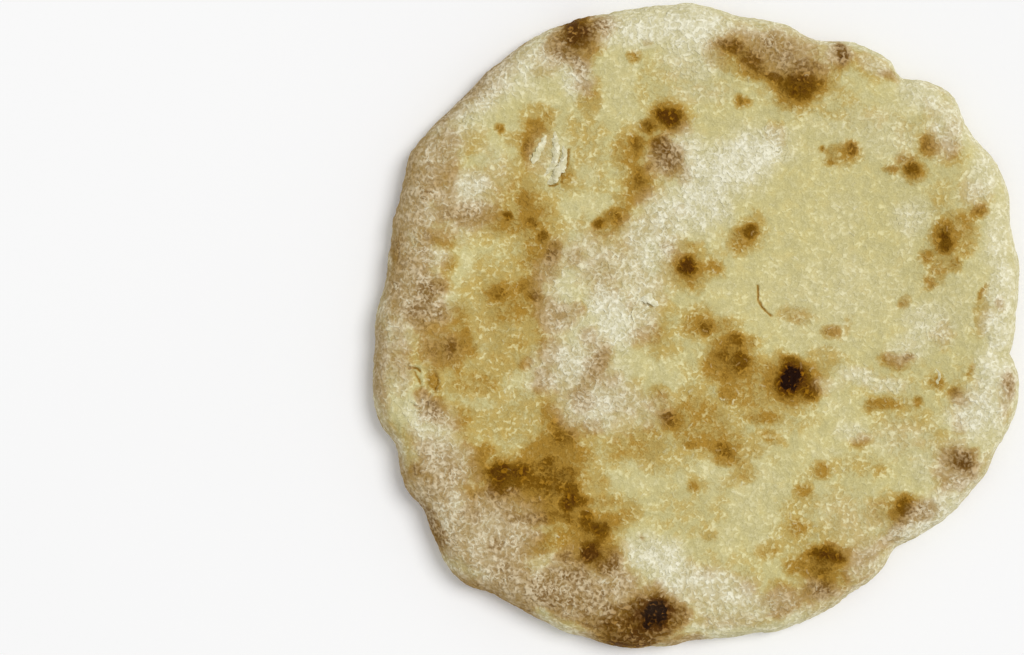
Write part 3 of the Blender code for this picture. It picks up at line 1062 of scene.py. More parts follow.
def halving_faces(outer, inner, inner_count):
    """Triangles between a ring and one inside it with half as many points."""
    faces = []
    for index in range(inner_count):
        a = outer + 2 * index
        b = outer + 2 * index + 1
        c = outer + (2 * index + 2) % (2 * inner_count)
        near = inner + index
        far = inner + (index + 1) % inner_count
        faces.extend(((a, near, b), (b, near, far), (b, far, c)))
    return faces


def skin_faces():
    """The triangles of crust, side and foot, and how many come before the foot."""
    faces = []
    first = 0
    for ring in range(1, TOP_RINGS + 1):
        inner = first
        first = inner + max(6 * (ring - 1), 1)
        faces.extend(fan_faces(ring, inner, first))
    for _ in SIDE_HEIGHTS:
        faces.extend(band_faces(first, first + EDGE_POINTS, EDGE_POINTS))
        first += EDGE_POINTS
    foot_start = len(faces)
    for share in (2, 4):
        outer = first
        first += EDGE_POINTS * 2 // share
        faces.extend(halving_faces(outer, first, EDGE_POINTS // share))
    for ring in range(FOOT_RINGS, 0, -1):
        outer = first
        first += 6 * ring
        turned = fan_faces(ring, first, outer)
        faces.extend((a, c, b) for a, b, c in turned)
    return faces, foot_start


def skin_map(mesh, points, radii, foot_start):
    """The skin's own map: the crust as one disc, the foot as a smaller one."""
    layer = mesh.uv_layers.new(name="OFBake")
    corners = np.zeros(len(mesh.loops), dtype=np.int32)
    mesh.loops.foreach_get("vertex_index", corners)
    turn = np.arctan2(points[:, 1], points[:, 0])
    padded = np.zeros(len(points))
    padded[: len(radii)] = radii
    crust = padded[:, None] * np.column_stack((np.cos(turn), np.sin(turn)))
    crust = np.array(CRUST_DISC_CENTRE) + CRUST_DISC_PER_METRE * crust
    foot = np.array(FOOT_DISC_CENTRE) + FOOT_DISC_PER_METRE * points[:, :2] * (-1, 1)
    chosen = crust[corners]
    chosen[3 * foot_start :] = foot[corners[3 * foot_start :]]
    layer.uv.foreach_set("vector", chosen.astype(np.float32).ravel())


def crust_relief(places, wavering, sizes, toasted, floured):
    """Height of the crust's fine relief, in metres, at places in millimetres.

    Its folds are laid at the wavering places, its wrinkles at bent ones.
    """
    rough = 0.8 + 0.2 * np.maximum(floured, 0.8 * toasted)
    swell = noise_field(places, sizes.swell_pitch / MM, SWELL_SHIFT)
    swell = swell * sizes.swell_height
    bent = warped(places, *WRINKLE_BEND)
    folded = noise_field(bent, sizes.wrinkle_pitch / MM, WRINKLE_SHIFT)
    wrinkle = (1.0 - 2.0 * np.abs(folded)) * sizes.wrinkle_height * rough
    pebble = noise_field(bent, sizes.pebble_pitch / MM, PEBBLE_SHIFT)
    pebble = pebble * sizes.pebble_height * rough
    relief = swell + wrinkle + pebble
    for points, half_width, height, _ in FOLDS:
        relief += height * MM * bell(distance_to_line(wavering, points), half_width)
    return relief


def made_finer(mesh, lowest):
    """Splits the crust's triangles round the narrow folds."""
    bm = bmesh.new()
    bm.from_mesh(mesh)
    for width in FINE_WIDTHS:
        edges = [edge for edge in bm.edges if edge.verts[0].co.z > lowest]
        middles = [(edge.verts[0].co + edge.verts[1].co) / (2.0 * MM) for edge in edges]
        middles = np.array(middles)
        near = np.zeros(len(edges), dtype=bool)
        for points, half_width, _, _ in FOLDS:
            if half_width < width:
                near |= distance_to_line(middles, points) < FINE_REACH + half_width
        chosen = [edge for edge, is_near in zip(edges, near) if is_near]
        bmesh.ops.subdivide_edges(bm, edges=chosen, cuts=1)
        bmesh.ops.triangulate(bm, faces=[face for face in bm.faces if len(face.verts) > 3])
    bm.to_mesh(mesh)
    bm.free()


def mesh_places(mesh):
    """The mesh's points and their normals, one row each."""
    points = np.zeros(3 * len(mesh.vertices), dtype=np.float32)
    mesh.vertices.foreach_get("co", points)
    normals = np.zeros(3 * len(mesh.vertices), dtype=np.float32)
    mesh.vertex_normals.foreach_get("vector", normals)
    return points.reshape(-1, 3).astype(float), normals.reshape(-1, 3)


def painted_crust(blurred, wavering, normals):
    """How toasted and how floured the crust is, at its points, with painted shade in the
    toasted field.
    """
    toasted = dab_field(blurred, TOASTED_AND_SHADED, TOASTED_SHIFT)
    floured = dab_field(blurred, FLOURED, FLOURED_SHIFT)

    # Flour clings to the steep rim, but not where it is browned.
    rim = smooth_step(*RIM_STEEP, normals[:, 2]) * smooth_step(*RIM_TOASTED, toasted)
    floured = np.maximum(floured, RIM_FLOUR * rim)

    # Thin drifts of it lie on the pale crust.
    drifts = noise_field(blurred, *WIDE_DRIFTS) + 0.6 * noise_field(blurred, *FINE_DRIFTS)
    drifts = smooth_step(-0.1, 0.6, drifts) * smooth_step(*DRIFT_TOASTED, toasted)
    floured += DRIFT_FLOUR * drifts * (1.0 - floured)
    toasted -= DRIFT_PALE * drifts

    # The fold lines darken the crust with their toast, which round the blisters and under
    # the lifted corner is painted shade.
    for line, half_width, _, toast_and_shade in FOLDS:
        along = toast_and_shade * bell(distance_to_line(wavering, line), half_width)
        toasted = np.maximum(toasted, along)
    return toasted, floured


def painted_underside(blurred, under, toasted, floured):
    """The two fields where the stone browns the loaf in spots, under a film."""
    spots = smooth_step(0.1, 0.5, noise_field(blurred, *STONE_SPOTS))
    stone = 0.3 + 0.25 * noise_field(blurred, *STONE_CLOUDS) + 0.45 * spots
    film = 0.5 + 0.6 * noise_field(blurred, *FLOUR_FILM)
    toasted = toasted + (stone - toasted) * under
    floured = floured + (np.clip(film, 0.1, 0.9) - floured) * under
    return toasted, floured


def crumb_cover(blurred, normals, floured):
    """How thickly crumbs of flour, and of crust, lie at the skin's points."""
    open_sky = smooth_step(*OPEN_SKY, normals[:, 2])
    patchy = np.clip(0.6 + 1.8 * noise_field(blurred, *CRUMB_PATCHES), 0.05, 1.6)
    of_flour = smooth_step(*FLOUR_CRUMBS_FLOURED, floured)
    of_crust = 0.1 + 0.15 * smooth_step(*CRUST_CRUMBS_FLOURED, floured)
    return open_sky * patchy * of_flour, open_sky * patchy * of_crust


def store_fields(mesh, fields):
    """Keeps each field with the mesh, as a value at each of its points."""
    for name, values in fields.items():
        field = mesh.attributes.new(name, "FLOAT", "POINT")
        field.data.foreach_set("value", np.asarray(values, dtype=np.float32))


def lay_skin(sizes):
    """The loaf's mesh, with its relief, its map and its painted fields."""
    noise.seed_set(BEND_SEED)
    tree = smooth_solid()
    edge_reach = reach_at_height(tree, sizes.edge_height)
    crust, radii = crust_points(tree, sizes, edge_reach)
    side, side_radii = side_points(tree, sizes, edge_reach)
    foot_reach = np.array([math.hypot(x, y) for x, y, _ in side[-EDGE_POINTS:]])
    points = np.array(crust + side + foot_points(foot_reach))
    faces, foot_start = skin_faces()

    mesh = bpy.data.meshes.new("crust")
    mesh.from_pydata(points.tolist(), [], faces)
    skin_map(mesh, points, np.array(radii + side_radii), foot_start)
    made_finer(mesh, sizes.edge_height)
    below = slice(len(crust), len(points))
    foot = slice(len(crust) + len(side), len(points))
    points, normals = mesh_places(mesh)

    places = points / MM
    wavering = warped(places, *FOLD_BEND)
    blurred = places
    for bend in FIELD_BENDS:
        blurred = warped(blurred, *bend)
    toasted, floured = painted_crust(blurred, wavering, normals)

    # The relief fades out down the side; the foot has swells of its own.
    relief = crust_relief(places, wavering, sizes, toasted, floured)
    under = np.zeros(len(points))
    under[below] = smooth_step(sizes.edge_height, 0.0, points[below, 2])
    moved = points + normals * (relief * (1.0 - under))[:, None]
    lift = noise_field(places[foot], *FOOT_SWELLS)
    lift = lift + 0.3 * noise_field(places[foot], *FOOT_BUMPS)
    moved[foot, 2] = np.maximum(lift, 0.0) * sizes.foot_relief
    mesh.vertices.foreach_set("co", moved.astype(np.float32).ravel())

    toasted[below], floured[below] = painted_underside(
        blurred[below], under[below], toasted[below], floured[below]
    )
    flour_crumbs, crust_crumbs = crumb_cover(blurred, normals, floured)
    fields = {
        "toasted": toasted,
        "floured": floured,
        "flour_crumbs": flour_crumbs,
        "crust_crumbs": crust_crumbs,
    }
    store_fields(mesh, fields)
    mesh.update()
    return mesh


# -------------------------------------------------------------- the flakes


def flake_spine(stations):
    """A flake's stations, made denser and smooth, and the way ahead at each."""
    stations = np.array(stations)
    knots = np.arange(len(stations))
    steps = np.linspace(0.0, knots[-1], FLAKE_STEPS * knots[-1] + 1)
    spine = np.column_stack([np.interp(steps, knots, row) for row in stations.T])
    for _ in range(2):
        spine[1:-1] = (spine[:-2] + 2.0 * spine[1:-1] + spine[2:]) / 4.0
    ahead = np.gradient(spine[:, :2], axis=0)
    ahead /= np.hypot(ahead[:, 0], ahead[:, 1])[:, None]
    return spine, ahead


def flake_points(ground, stations, thickness):
    """A flake's points over the ground: at each station its top, then its back."""
    points = []
    spine, ahead = flake_spine(stations)
    for (x, y, half_width, left, right), (ahead_x, ahead_y) in zip(spine, ahead):
        for drop in (0.0, thickness):
            for share in FLAKE_SHARES:
                stray = noise.noise(Vector((x, y, 3.0 * share)) / FLAKE_PITCH)
                out = share * half_width * (1.0 + FLAKE_RAGGED * stray)
                place = Vector((x - out * ahead_y, y + out * ahead_x, 1.0 / MM)) * MM
                hit = ground.ray_cast(place, DOWN)[0]
                tilt = (left + right) / 2.0 + share * (left - right) / 2.0
                arch = FLAKE_ARCH * half_width * (1.0 - share * share)
                height = tilt + arch - drop
                points.append((place.x, place.y, hit.z + height * MM))
    return points


def flake_faces(start, rows):
    """A flake's faces, from its first point: top and back, long edges and ends."""
    across = len(FLAKE_SHARES)
    last = across - 1
    faces = []
    for row in range(rows - 1):
        here = start + 2 * across * row
        after = here + 2 * across
        for step in range(last):
            a = here + step
            b = after + step
            faces.append((a, a + 1, b + 1, b))
            faces.append((a + across, b + across, b + across + 1, a + across + 1))
        faces.append((here, after, after + across, here + across))
        a = here + last
        b = after + last
        faces.append((a, a + across, b + across, b))
    for row, turned in ((0, False), (rows - 1, True)):
        here = start + 2 * across * row
        for a in range(here, here + last):
            face = (a, a + across, a + across + 1, a + 1)
            faces.append(face[::-1] if turned else face)
    return faces


def lay_flakes(sizes):
    """Thin closed flakes of skin, laid over the finished crust."""
    ground = BVHTree.FromObject(
        bpy.data.objects["crust"], bpy.context.evaluated_depsgraph_get()
    )
    points = []
    faces = []
    floured = []
    for flour, stations in FLAKES:
        laid = flake_points(ground, stations, sizes.flake_thickness / MM)
        rows = len(laid) // (2 * len(FLAKE_SHARES))
        faces.extend(flake_faces(len(points), rows))
        points.extend(laid)
        floured.extend([flour] * len(laid))
    mesh = bpy.data.meshes.new("flakes")
    mesh.from_pydata(points, [], faces)
    bm = bmesh.new()
    bm.from_mesh(mesh)
    bmesh.ops.triangulate(bm, faces=bm.faces)
    bmesh.ops.recalc_face_normals(bm, faces=bm.faces)
    bm.to_mesh(mesh)
    bm.free()
    toasted = [FLAKE_TOASTED] * len(points)
    store_fields(mesh, {"toasted": toasted, "floured": floured})
    return mesh


# ------------------------------------------------------------- materials


class Bench:
    """Places and joins the nodes of one node tree."""

    def __init__(self, tree):
        self.nodes = tree.nodes
        self.links = tree.links

    def node(self, kind, inputs=None, group=None, **settings):
        """A new node, with its inputs by socket and its settings by name."""
        made = self.nodes.new(kind)
        if group:
            made.node_tree = group
        for name, value in settings.items():
            setattr(made, name, value)
        for socket, value in (inputs or {}).items():
            self.feed(made.inputs[socket], value)
        return made

    def feed(self, socket, value):
        """Joins another node's socket to this one, or sets this one's value."""
        if isinstance(value, bpy.types.NodeSocket):
            self.links.new(value, socket)
        else:
            socket.default_value = value

    def math(self, operation, first, second=0.0, third=0.0, clamp=False):
        inputs = {0: first, 1: second, 2: third}
        kind = "ShaderNodeMath"
        made = self.node(kind, inputs, operation=operation, use_clamp=clamp)
        return made.outputs[0]

    def spread(self, value, low, high, to_low=0.0, to_high=1.0):
        """A value's place between two others, eased at both ends."""
        inputs = {0: value, 1: low, 2: high, 3: to_low, 4: to_high}
        kind = "ShaderNodeMapRange"
        made = self.node(kind, inputs, interpolation_type="SMOOTHSTEP")
        return made.outputs[0]

    def blend(self, factor, first, second, blend_type="MIX"):
        """Two colours, blended."""
        inputs = {0: factor, 6: first, 7: second}
        kind = "ShaderNodeMix"
        made = self.node(kind, inputs, data_type="RGBA", blend_type=blend_type)
        return made.outputs[2]

    def ramp(self, value, stops):
        """A colour by value, through stops of a place and a colour each."""
        made = self.node("ShaderNodeValToRGB", {0: value})
        made.color_ramp.interpolation = "EASE"
        elements = made.color_ramp.elements
        for place, colour in stops[1:-1]:
            elements.new(place).color = colour
        elements[0].position, elements[0].color = stops[0]
        elements[-1].position, elements[-1].color = stops[-1]
        return made.outputs[0]

    def field(self, name):
        """A field that the mesh keeps."""
        kind = "ShaderNodeAttribute"
        return self.node(kind, attribute_name=name).outputs["Fac"]

    def chance(self, kind, low, high, seed):
        """A random number between two others, or a whole one."""
        made = self.node("FunctionNodeRandomValue", {"Seed": seed}, data_type=kind)
        live = [socket for socket in made.inputs if socket.enabled]
        self.feed(live[0], low)
        self.feed(live[1], high)
        return next(socket for socket in made.outputs if socket.enabled)


def new_group(name, inputs, outputs):
    """A shader node group with its bench, its entry and its way out."""
    group = bpy.data.node_groups.new(name, "ShaderNodeTree")
    for socket, kind in inputs:
        group.interface.new_socket(socket, in_out="INPUT", socket_type=kind)
    for socket, kind in outputs:
        group.interface.new_socket(socket, in_out="OUTPUT", socket_type=kind)
    bench = Bench(group)
    entry = bench.node("NodeGroupInput").outputs
    leave = bench.node("NodeGroupOutput").inputs
    return group, bench, entry, leave


def crinkle_group():
    """Fine crinkled grain of a floured crust, at the pitch of its curls.

    The flecks are the tops of the curls, grains are finer and clouds broader.
    """
    group, bench, entry, leave = new_group(
        "crinkle",
        (("Place", "NodeSocketVector"), ("Pitch", "NodeSocketFloat")),
        (
            ("Curls", "NodeSocketFloat"),
            ("Flecks", "NodeSocketFloat"),
            ("Grains", "NodeSocketFloat"),
            ("Clouds", "NodeSocketFloat"),
        ),
    )
    fineness = bench.math("DIVIDE", 1.0, entry["Pitch"])

    def pattern(share, detail, distortion):
        """Noise that is finer than the pitch by a share."""
        scale = bench.math("MULTIPLY", fineness, share)
        made = bench.node(
            "ShaderNodeTexNoise",
            {"Vector": entry["Place"], "Scale": scale, "Detail": detail},
        )
        made.inputs["Distortion"].default_value = distortion
        return made.outputs["Fac"]

    curled = pattern(*CRINKLE_CURLS)
    bench.feed(leave["Curls"], bench.spread(curled, 0.3, 0.7))
    bench.feed(leave["Flecks"], bench.spread(curled, 0.5, 0.8))
    bench.feed(leave["Grains"], bench.spread(pattern(*CRINKLE_GRAINS), 0.3, 0.7))
    bench.feed(leave["Clouds"], bench.spread(pattern(*CRINKLE_CLOUDS), 0.3, 0.7))
    return group


def baked_group(colours):
    """The colour of baked dough, from how toasted, floured and raised it is."""
    group, bench, entry, leave = new_group(
        "baked",
        (
            ("Toasted", "NodeSocketFloat"),
            ("Floured", "NodeSocketFloat"),
            ("Raised", "NodeSocketFloat"),
            ("Flecks", "NodeSocketFloat"),
            ("Grains", "NodeSocketFloat"),
            ("Clouds", "NodeSocketFloat"),
        ),
        (("Colour", "NodeSocketColor"), ("Roughness", "NodeSocketFloat")),
    )
    # Toasted holds painted shade as well as browning, and so does the toast worked from
    # it.
    toasted = entry["Toasted"]

    # The heat browns the crust in clouds, and what is raised stays paler, most
    # where it is half toasted.
    furrow = bench.math("MULTIPLY_ADD", entry["Raised"], -0.4, 0.2)
    fine = bench.math("MULTIPLY_ADD", entry["Grains"], -0.24, 0.12)
    cloudy = bench.math("MULTIPLY_ADD", entry["Clouds"], 0.64, -0.32)
    unevenness = bench.math("ADD", bench.math("ADD", furrow, fine), cloudy)
    untoasted = bench.math("SUBTRACT", 1.0, toasted)
    reach = bench.math("MULTIPLY", toasted, untoasted)
    reach = bench.math("MULTIPLY_ADD", reach, 0.22, 0.12)
    toast_and_shade = bench.math("MULTIPLY_ADD", toasted, 0.88, 0.12)
    toast_and_shade = bench.math("MULTIPLY_ADD", unevenness, reach, toast_and_shade)

    # The tops of the curls are spared a little where the crust is dark.
    flecks = bench.spread(entry["Clouds"], 0.2, 0.8, 0.2, 1.2)
    flecks = bench.math("MULTIPLY", flecks, entry["Flecks"], clamp=True)
    spared = bench.spread(toast_and_shade, 0.5, 0.9, 0.0, -0.12)
    toast_and_shade = bench.math("MULTIPLY_ADD", flecks, spared, toast_and_shade)
    crust = bench.ramp(
        toast_and_shade,
        (
            (0.0, colours.cream),
            (0.12, colours.pale),
            (0.3, colours.warm),
            (0.48, colours.golden),
            (0.70, colours.brown),
            (0.85, colours.dark),
            (1.0, colours.char),
        ),
    )

    # They are cream on the pale crust, and only lighter on the browned crust.
    pale_share = bench.spread(toast_and_shade, 0.15, 0.55, 1.0, 0.0)
    pale_flecks = bench.math("MULTIPLY", flecks, pale_share)
    crust = bench.blend(pale_flecks, crust, colours.cream)
    depth = bench.spread(toast_and_shade, 0.4, 0.8, 0.0, 0.9)
    light = bench.math("MULTIPLY_ADD", flecks, depth, 0.83)
    light = bench.math("MULTIPLY_ADD", entry["Grains"], 0.08, light)
    light = bench.math("MULTIPLY_ADD", entry["Clouds"], 0.16, light)
    crust = bench.blend(1.0, crust, light, "MULTIPLY")

    # Flour clings to what is raised, and little of it is left on char.
    scorched = bench.math("MULTIPLY_ADD", furrow, 0.4, toast_and_shade)
    kept = bench.spread(scorched, 0.55, 0.88, 1.0, 0.1)
    clinging = bench.math("MULTIPLY_ADD", entry["Raised"], 0.3, 0.6)
    clinging = bench.math("MULTIPLY_ADD", entry["Clouds"], 0.4, clinging)
    clinging = bench.math("MULTIPLY", clinging, kept)
    powder = bench.math("MULTIPLY", entry["Floured"], clinging, clamp=True)

    # It lies thick on what is high and thin in the hollows, and browns too.
    height = bench.math("MULTIPLY", entry["Raised"], 0.3)
    height = bench.math("MULTIPLY_ADD", entry["Flecks"], 0.5, height)
    height = bench.math("MULTIPLY_ADD", entry["Grains"], 0.1, height)
    height = bench.math("MULTIPLY_ADD", entry["Clouds"], 0.42, height)
    browned = bench.spread(toasted, 0.2, 0.65)
    thick = bench.blend(browned, colours.flour, colours.browned_flour)
    thin = bench.blend(browned, colours.thin_flour, colours.browned_film)
    flour = bench.blend(height, thin, thick)
    bench.feed(leave["Colour"], bench.blend(powder, crust, flour))
    dry = bench.spread(toast_and_shade, 0.3, 0.9, 0.9, 0.66)
    bench.feed(leave["Roughness"], bench.math("MAXIMUM", dry, powder))
    return group


def start_material(name):
    """A material with its bench, its shader and the place on the object."""
    material = bpy.data.materials.new(name)
    material.use_nodes = True
    bench = Bench(material.node_tree)
    place = bench.node("ShaderNodeTexCoord").outputs["Object"]
    return material, bench, bench.nodes["Principled BSDF"], place


def crust_material(crinkle, baked, name, lifted):
    """Toasted and floured crust, painted by the skin's fields.

    Where it is lifted, as in a crumb, it is paler and holds more flour.
    """
    material, bench, shader, place = start_material(name)
    grained = {"Place": place, "Pitch": CRINKLE_PITCH}
    grain = bench.node("ShaderNodeGroup", grained, crinkle).outputs
    rugged = 1.0 - LIFTED_SMOOTH * lifted
    browned = 1.0 - LIFTED_PALE * lifted
    floured = bench.math("ADD", bench.field("floured"), LIFTED_FLOUR * lifted)
    raised = bench.math("MULTIPLY_ADD", grain["Curls"], rugged, LIFTED_RAISED * lifted)
    look = bench.node(
        "ShaderNodeGroup",
        {
            "Toasted": bench.math("MULTIPLY", bench.field("toasted"), browned),
            "Floured": floured,
            "Raised": raised,
            "Flecks": grain["Flecks"],
            "Grains": grain["Grains"],
            "Clouds": grain["Clouds"],
        },
        baked,
    ).outputs
    bench.feed(shader.inputs["Base Color"], look["Colour"])
    bench.feed(shader.inputs["Roughness"], look["Roughness"])
    shader.inputs["Specular IOR Level"].default_value = 0.06
    height = bench.math("MULTIPLY_ADD", grain["Grains"], 0.3, grain["Curls"])
    rough = bench.math("MAXIMUM", floured, bench.field("toasted"))
    strength = bench.spread(rough, 0.0, 0.6, 0.5, 1.0)
    bump = bench.node(
        "ShaderNodeBump",
        {
            "Height": bench.math("MULTIPLY", height, strength),
            "Distance": CRINKLE_HEIGHT * rugged,
            "Strength": 1.0,
        },
    )
    bench.feed(shader.inputs["Normal"], bump.outputs["Normal"])
    return material


def floor_material():
    """A plain pale floor with a faint, even mottle."""
    material, bench, shader, place = start_material("pale_floor")
    mottle = bench.node("ShaderNodeTexNoise", {"Vector": place, "Scale": 3.0})
    darkest, palest = FLOOR_TONES
    tone = bench.ramp(mottle.outputs["Fac"], ((0.0, darkest), (1.0, palest)))
    bench.feed(shader.inputs["Base Color"], tone)
    shader.inputs["Roughness"].default_value = 0.9
    shader.inputs["Specular IOR Level"].default_value = 0.1
    return material


# -------------------------------------------------------- geometry nodes


def grown(mesh, tree, inputs, name):
    """The mesh that a tree of geometry nodes makes from another mesh."""
    holder = bpy.data.objects.new(name, mesh)
    bpy.context.scene.collection.objects.link(holder)
    modifier = holder.modifiers.new(name, "NODES")
    modifier.node_group = tree
    for item in tree.interface.items_tree:
        if item.in_out == "INPUT" and item.name in inputs:
            modifier[item.identifier] = inputs[item.name]
    graph = bpy.context.evaluated_depsgraph_get()
    made = bpy.data.meshes.new_from_object(holder.evaluated_get(graph))
    holder.modifiers.remove(modifier)
    bpy.data.objects.remove(holder)
    if len(made.polygons) == 0:
        raise RuntimeError(f"{name}: the tree made nothing")
    made.name = name
    return made


def new_crumbs_tree(name):
    """An empty tree with the crumbs' named inputs, its bench, entry and way out."""
    tree = bpy.data.node_groups.new(name, "GeometryNodeTree")
    face = tree.interface
    face.new_socket("Surface", in_out="INPUT", socket_type="NodeSocketGeometry")
    for socket in ("Spacing", "Length", "Half-width", "Flatness", "Sunk"):
        face.new_socket(socket, in_out="INPUT", socket_type="NodeSocketFloat")
    face.new_socket("Seed", in_out="INPUT", socket_type="NodeSocketInt")
    face.new_socket("Crumbs", in_out="OUTPUT", socket_type="NodeSocketGeometry")
    bench = Bench(tree)
    entry = bench.node("NodeGroupInput").outputs
    leave = bench.node("NodeGroupOutput").inputs
    return tree, bench, entry, leave


def strewn_points(bench, entry, field):
    """Points strewn over the surface, as thickly as its field says, in plan."""
    thickly = bench.node("GeometryNodeInputNamedAttribute", {"Name": field})
    area = bench.math("MULTIPLY", entry["Spacing"], entry["Spacing"])
    strewn = bench.node(
        "GeometryNodeDistributePointsOnFaces",
        {
            "Mesh": entry["Surface"],
            "Distance Min": entry["Spacing"],
            "Density Max": bench.math("DIVIDE", 2.0, area),
            "Density Factor": thickly.outputs["Attribute"],
            "Seed": entry["Seed"],
        },
        distribute_method="POISSON",
    )
    flattened = bench.node(
        "GeometryNodeSetPosition",
        {"Geometry": strewn.outputs["Points"], "Position": in_plan(bench)},
    )
    return flattened.outputs[0]


def in_plan(bench):
    """Where a point is, without its height."""
    place = bench.node("GeometryNodeInputPosition").outputs[0]
    inputs = {0: place, 1: (1.0, 1.0, 0.0)}
    return bench.node("ShaderNodeVectorMath", inputs, operation="MULTIPLY").outputs[0]


def slivers(bench, entry):
    """Three slivers: nearly straight, bent and hooked, each pointed at its ends."""
    circle = bench.node(
        "GeometryNodeCurvePrimitiveCircle",
        {"Resolution": 3, "Radius": entry["Half-width"]},
        mode="RADIUS",
    )
    profile = bench.node(
        "GeometryNodeTransform",
        {"Geometry": circle.outputs["Curve"], "Rotation": (0.0, 0.0, -math.pi / 2.0)},
    )
    along = bench.node("GeometryNodeSplineParameter").outputs["Factor"]
    swing = bench.math("SINE", bench.math("MULTIPLY", along, math.pi))
    swelling = bench.math("MULTIPLY_ADD", swing, 0.9, 0.1)
    kinds = bench.node("GeometryNodeGeometryToInstance")
    for sweep in SLIVER_SWEEPS:
        turn = math.radians(sweep)
        arc = bench.node(
            "GeometryNodeCurveArc",
            {
                "Resolution": 5,
                "Radius": bench.math("DIVIDE", entry["Length"], turn),
                "Start Angle": -turn / 2.0,
                "Sweep Angle": turn,
            },
        )
        inward = bench.node(
            "ShaderNodeCombineXYZ",
            {0: bench.math("DIVIDE", entry["Length"], -turn)},
        )
        centred = bench.node(
            "GeometryNodeSetPosition",
            {"Geometry": arc.outputs["Curve"], "Offset": inward.outputs[0]},
        )
        tapered = bench.node(
            "GeometryNodeSetCurveRadius",
            {"Curve": centred.outputs[0], "Radius": swelling},
        )
        sliver = bench.node(
            "GeometryNodeCurveToMesh",
            {"Curve": tapered.outputs[0], "Profile Curve": profile.outputs[0]},
        )
        sliver.inputs["Fill Caps"].default_value = True
        bench.feed(kinds.inputs[0], sliver.outputs[0])
    return kinds.outputs[0]


def placed_slivers(bench, entry, points, kinds):
    """A sliver at each point, of any kind, turn and size, still lying flat."""
    seeds = [bench.math("ADD", entry["Seed"], float(step)) for step in (1, 2, 3)]
    index = bench.chance("INT", 0, len(SLIVER_SWEEPS) - 1, seeds[0])
    around = bench.chance("FLOAT", 0.0, 2.0 * math.pi, seeds[1])
    size = bench.chance("FLOAT", *SLIVER_SIZES, seeds[2])
    spin = bench.node("ShaderNodeCombineXYZ", {2: around})
    stretch = bench.node(
        "ShaderNodeCombineXYZ",
        {0: size, 1: size, 2: bench.math("MULTIPLY", size, entry["Flatness"])},
    )
    placed = bench.node(
        "GeometryNodeInstanceOnPoints",
        {
            "Points": points,
            "Instance": kinds,
            "Instance Index": index,
            "Rotation": spin.outputs[0],
            "Scale": stretch.outputs[0],
        },
    )
    placed.inputs["Pick Instance"].default_value = True
    real = bench.node("GeometryNodeRealizeInstances", {0: placed.outputs[0]})
    return real.outputs[0]


def draped(bench, entry, crumbs):
    """Each point goes down onto the surface and keeps its height over it."""
    high = bench.node("ShaderNodeVectorMath", {0: in_plan(bench), 1: (0.0, 0.0, 1.0)})
    dropped = bench.node(
        "GeometryNodeRaycast",
        {
            "Target Geometry": entry["Surface"],
            "Source Position": high.outputs[0],
            "Ray Direction": (0.0, 0.0, -1.0),
            "Ray Length": 1.0,
        },
    )
    ground = bench.node("ShaderNodeSeparateXYZ", {0: dropped.outputs["Hit Position"]})
    rise = bench.math("SUBTRACT", ground.outputs[2], entry["Sunk"])
    upward = bench.node("ShaderNodeCombineXYZ", {2: rise})
    moved = bench.node(
        "GeometryNodeSetPosition", {"Geometry": crumbs, "Offset": upward.outputs[0]}
    )
    return moved.outputs[0]


def mapped(bench, crumbs):
    """The crumbs with a map of their own, straight down from above."""
    place = bench.node("GeometryNodeInputPosition").outputs[0]
    shrunk = {0: place, 3: 1.0 / CRUMB_MAP_WIDTH}
    flat = bench.node("ShaderNodeVectorMath", shrunk, operation="SCALE")
    middled = bench.node(
        "ShaderNodeVectorMath", {0: flat.outputs[0], 1: (0.5, 0.5, 0.0)}
    )
    stored = bench.node(
        "GeometryNodeStoreNamedAttribute",
        {"Geometry": crumbs, "Name": "OFBake", "Value": middled.outputs[0]},
        data_type="FLOAT2",
        domain="CORNER",
    )
    return stored.outputs[0]


def crumbs_tree(name, field, material):
    """Strews bent slivers over a surface, as thickly as one of its fields says."""
    tree, bench, entry, leave = new_crumbs_tree(name)
    points = strewn_points(bench, entry, field)
    crumbs = placed_slivers(bench, entry, points, slivers(bench, entry))
    crumbs = mapped(bench, draped(bench, entry, crumbs))
    dressed = bench.node(
        "GeometryNodeSetMaterial", {"Geometry": crumbs, "Material": material}
    )
    bench.feed(leave["Crumbs"], dressed.outputs[0])
    return tree


# ------------------------------------------------------------- operators


def add_piece(scene, mesh, name):
    """A finished piece of the loaf."""
    piece = bpy.data.objects.new(name, mesh)
    scene.collection.objects.link(piece)
    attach(piece, BODY)
    return piece


def shared_groups(scene):
    """The groups that the crust and its crumbs share, built once."""
    made = bpy.data.node_groups
    if "baked" not in made:
        baked_group(scene.focaccia_colours)
        crinkle_group()
    return made["crinkle"], made["baked"]


class FOCACCIA_OT_crust(bpy.types.Operator):
    """Lays the toasted, floured crust over the loaf"""

    bl_idname = "focaccia.crust"
    bl_label = "Crust"

    def execute(self, context):
        scene = context.scene
        mesh = lay_skin(scene.focaccia_loaf)
        mesh.materials.append(crust_material(*shared_groups(scene), "crust", 0.0))
        mesh.shade_smooth()
        crust = add_piece(scene, mesh, "crust")
        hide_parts(LOAF_NODE)
        return {"FINISHED"}


class FOCACCIA_OT_flakes(bpy.types.Operator):
    """Lays the lifted flakes of skin on the crust"""

    bl_idname = "focaccia.flakes"
    bl_label = "Flakes"

    def execute(self, context):
        scene = context.scene
        groups = shared_groups(scene)
        mesh = lay_flakes(scene.focaccia_crumbs)
        mesh.materials.append(crust_material(*groups, "flakes", FLAKES_LIFTED))
        mesh.shade_smooth()
        mesh.set_sharp_from_angle(angle=math.radians(50.0))
        add_piece(scene, mesh, "flakes")
        return {"FINISHED"}


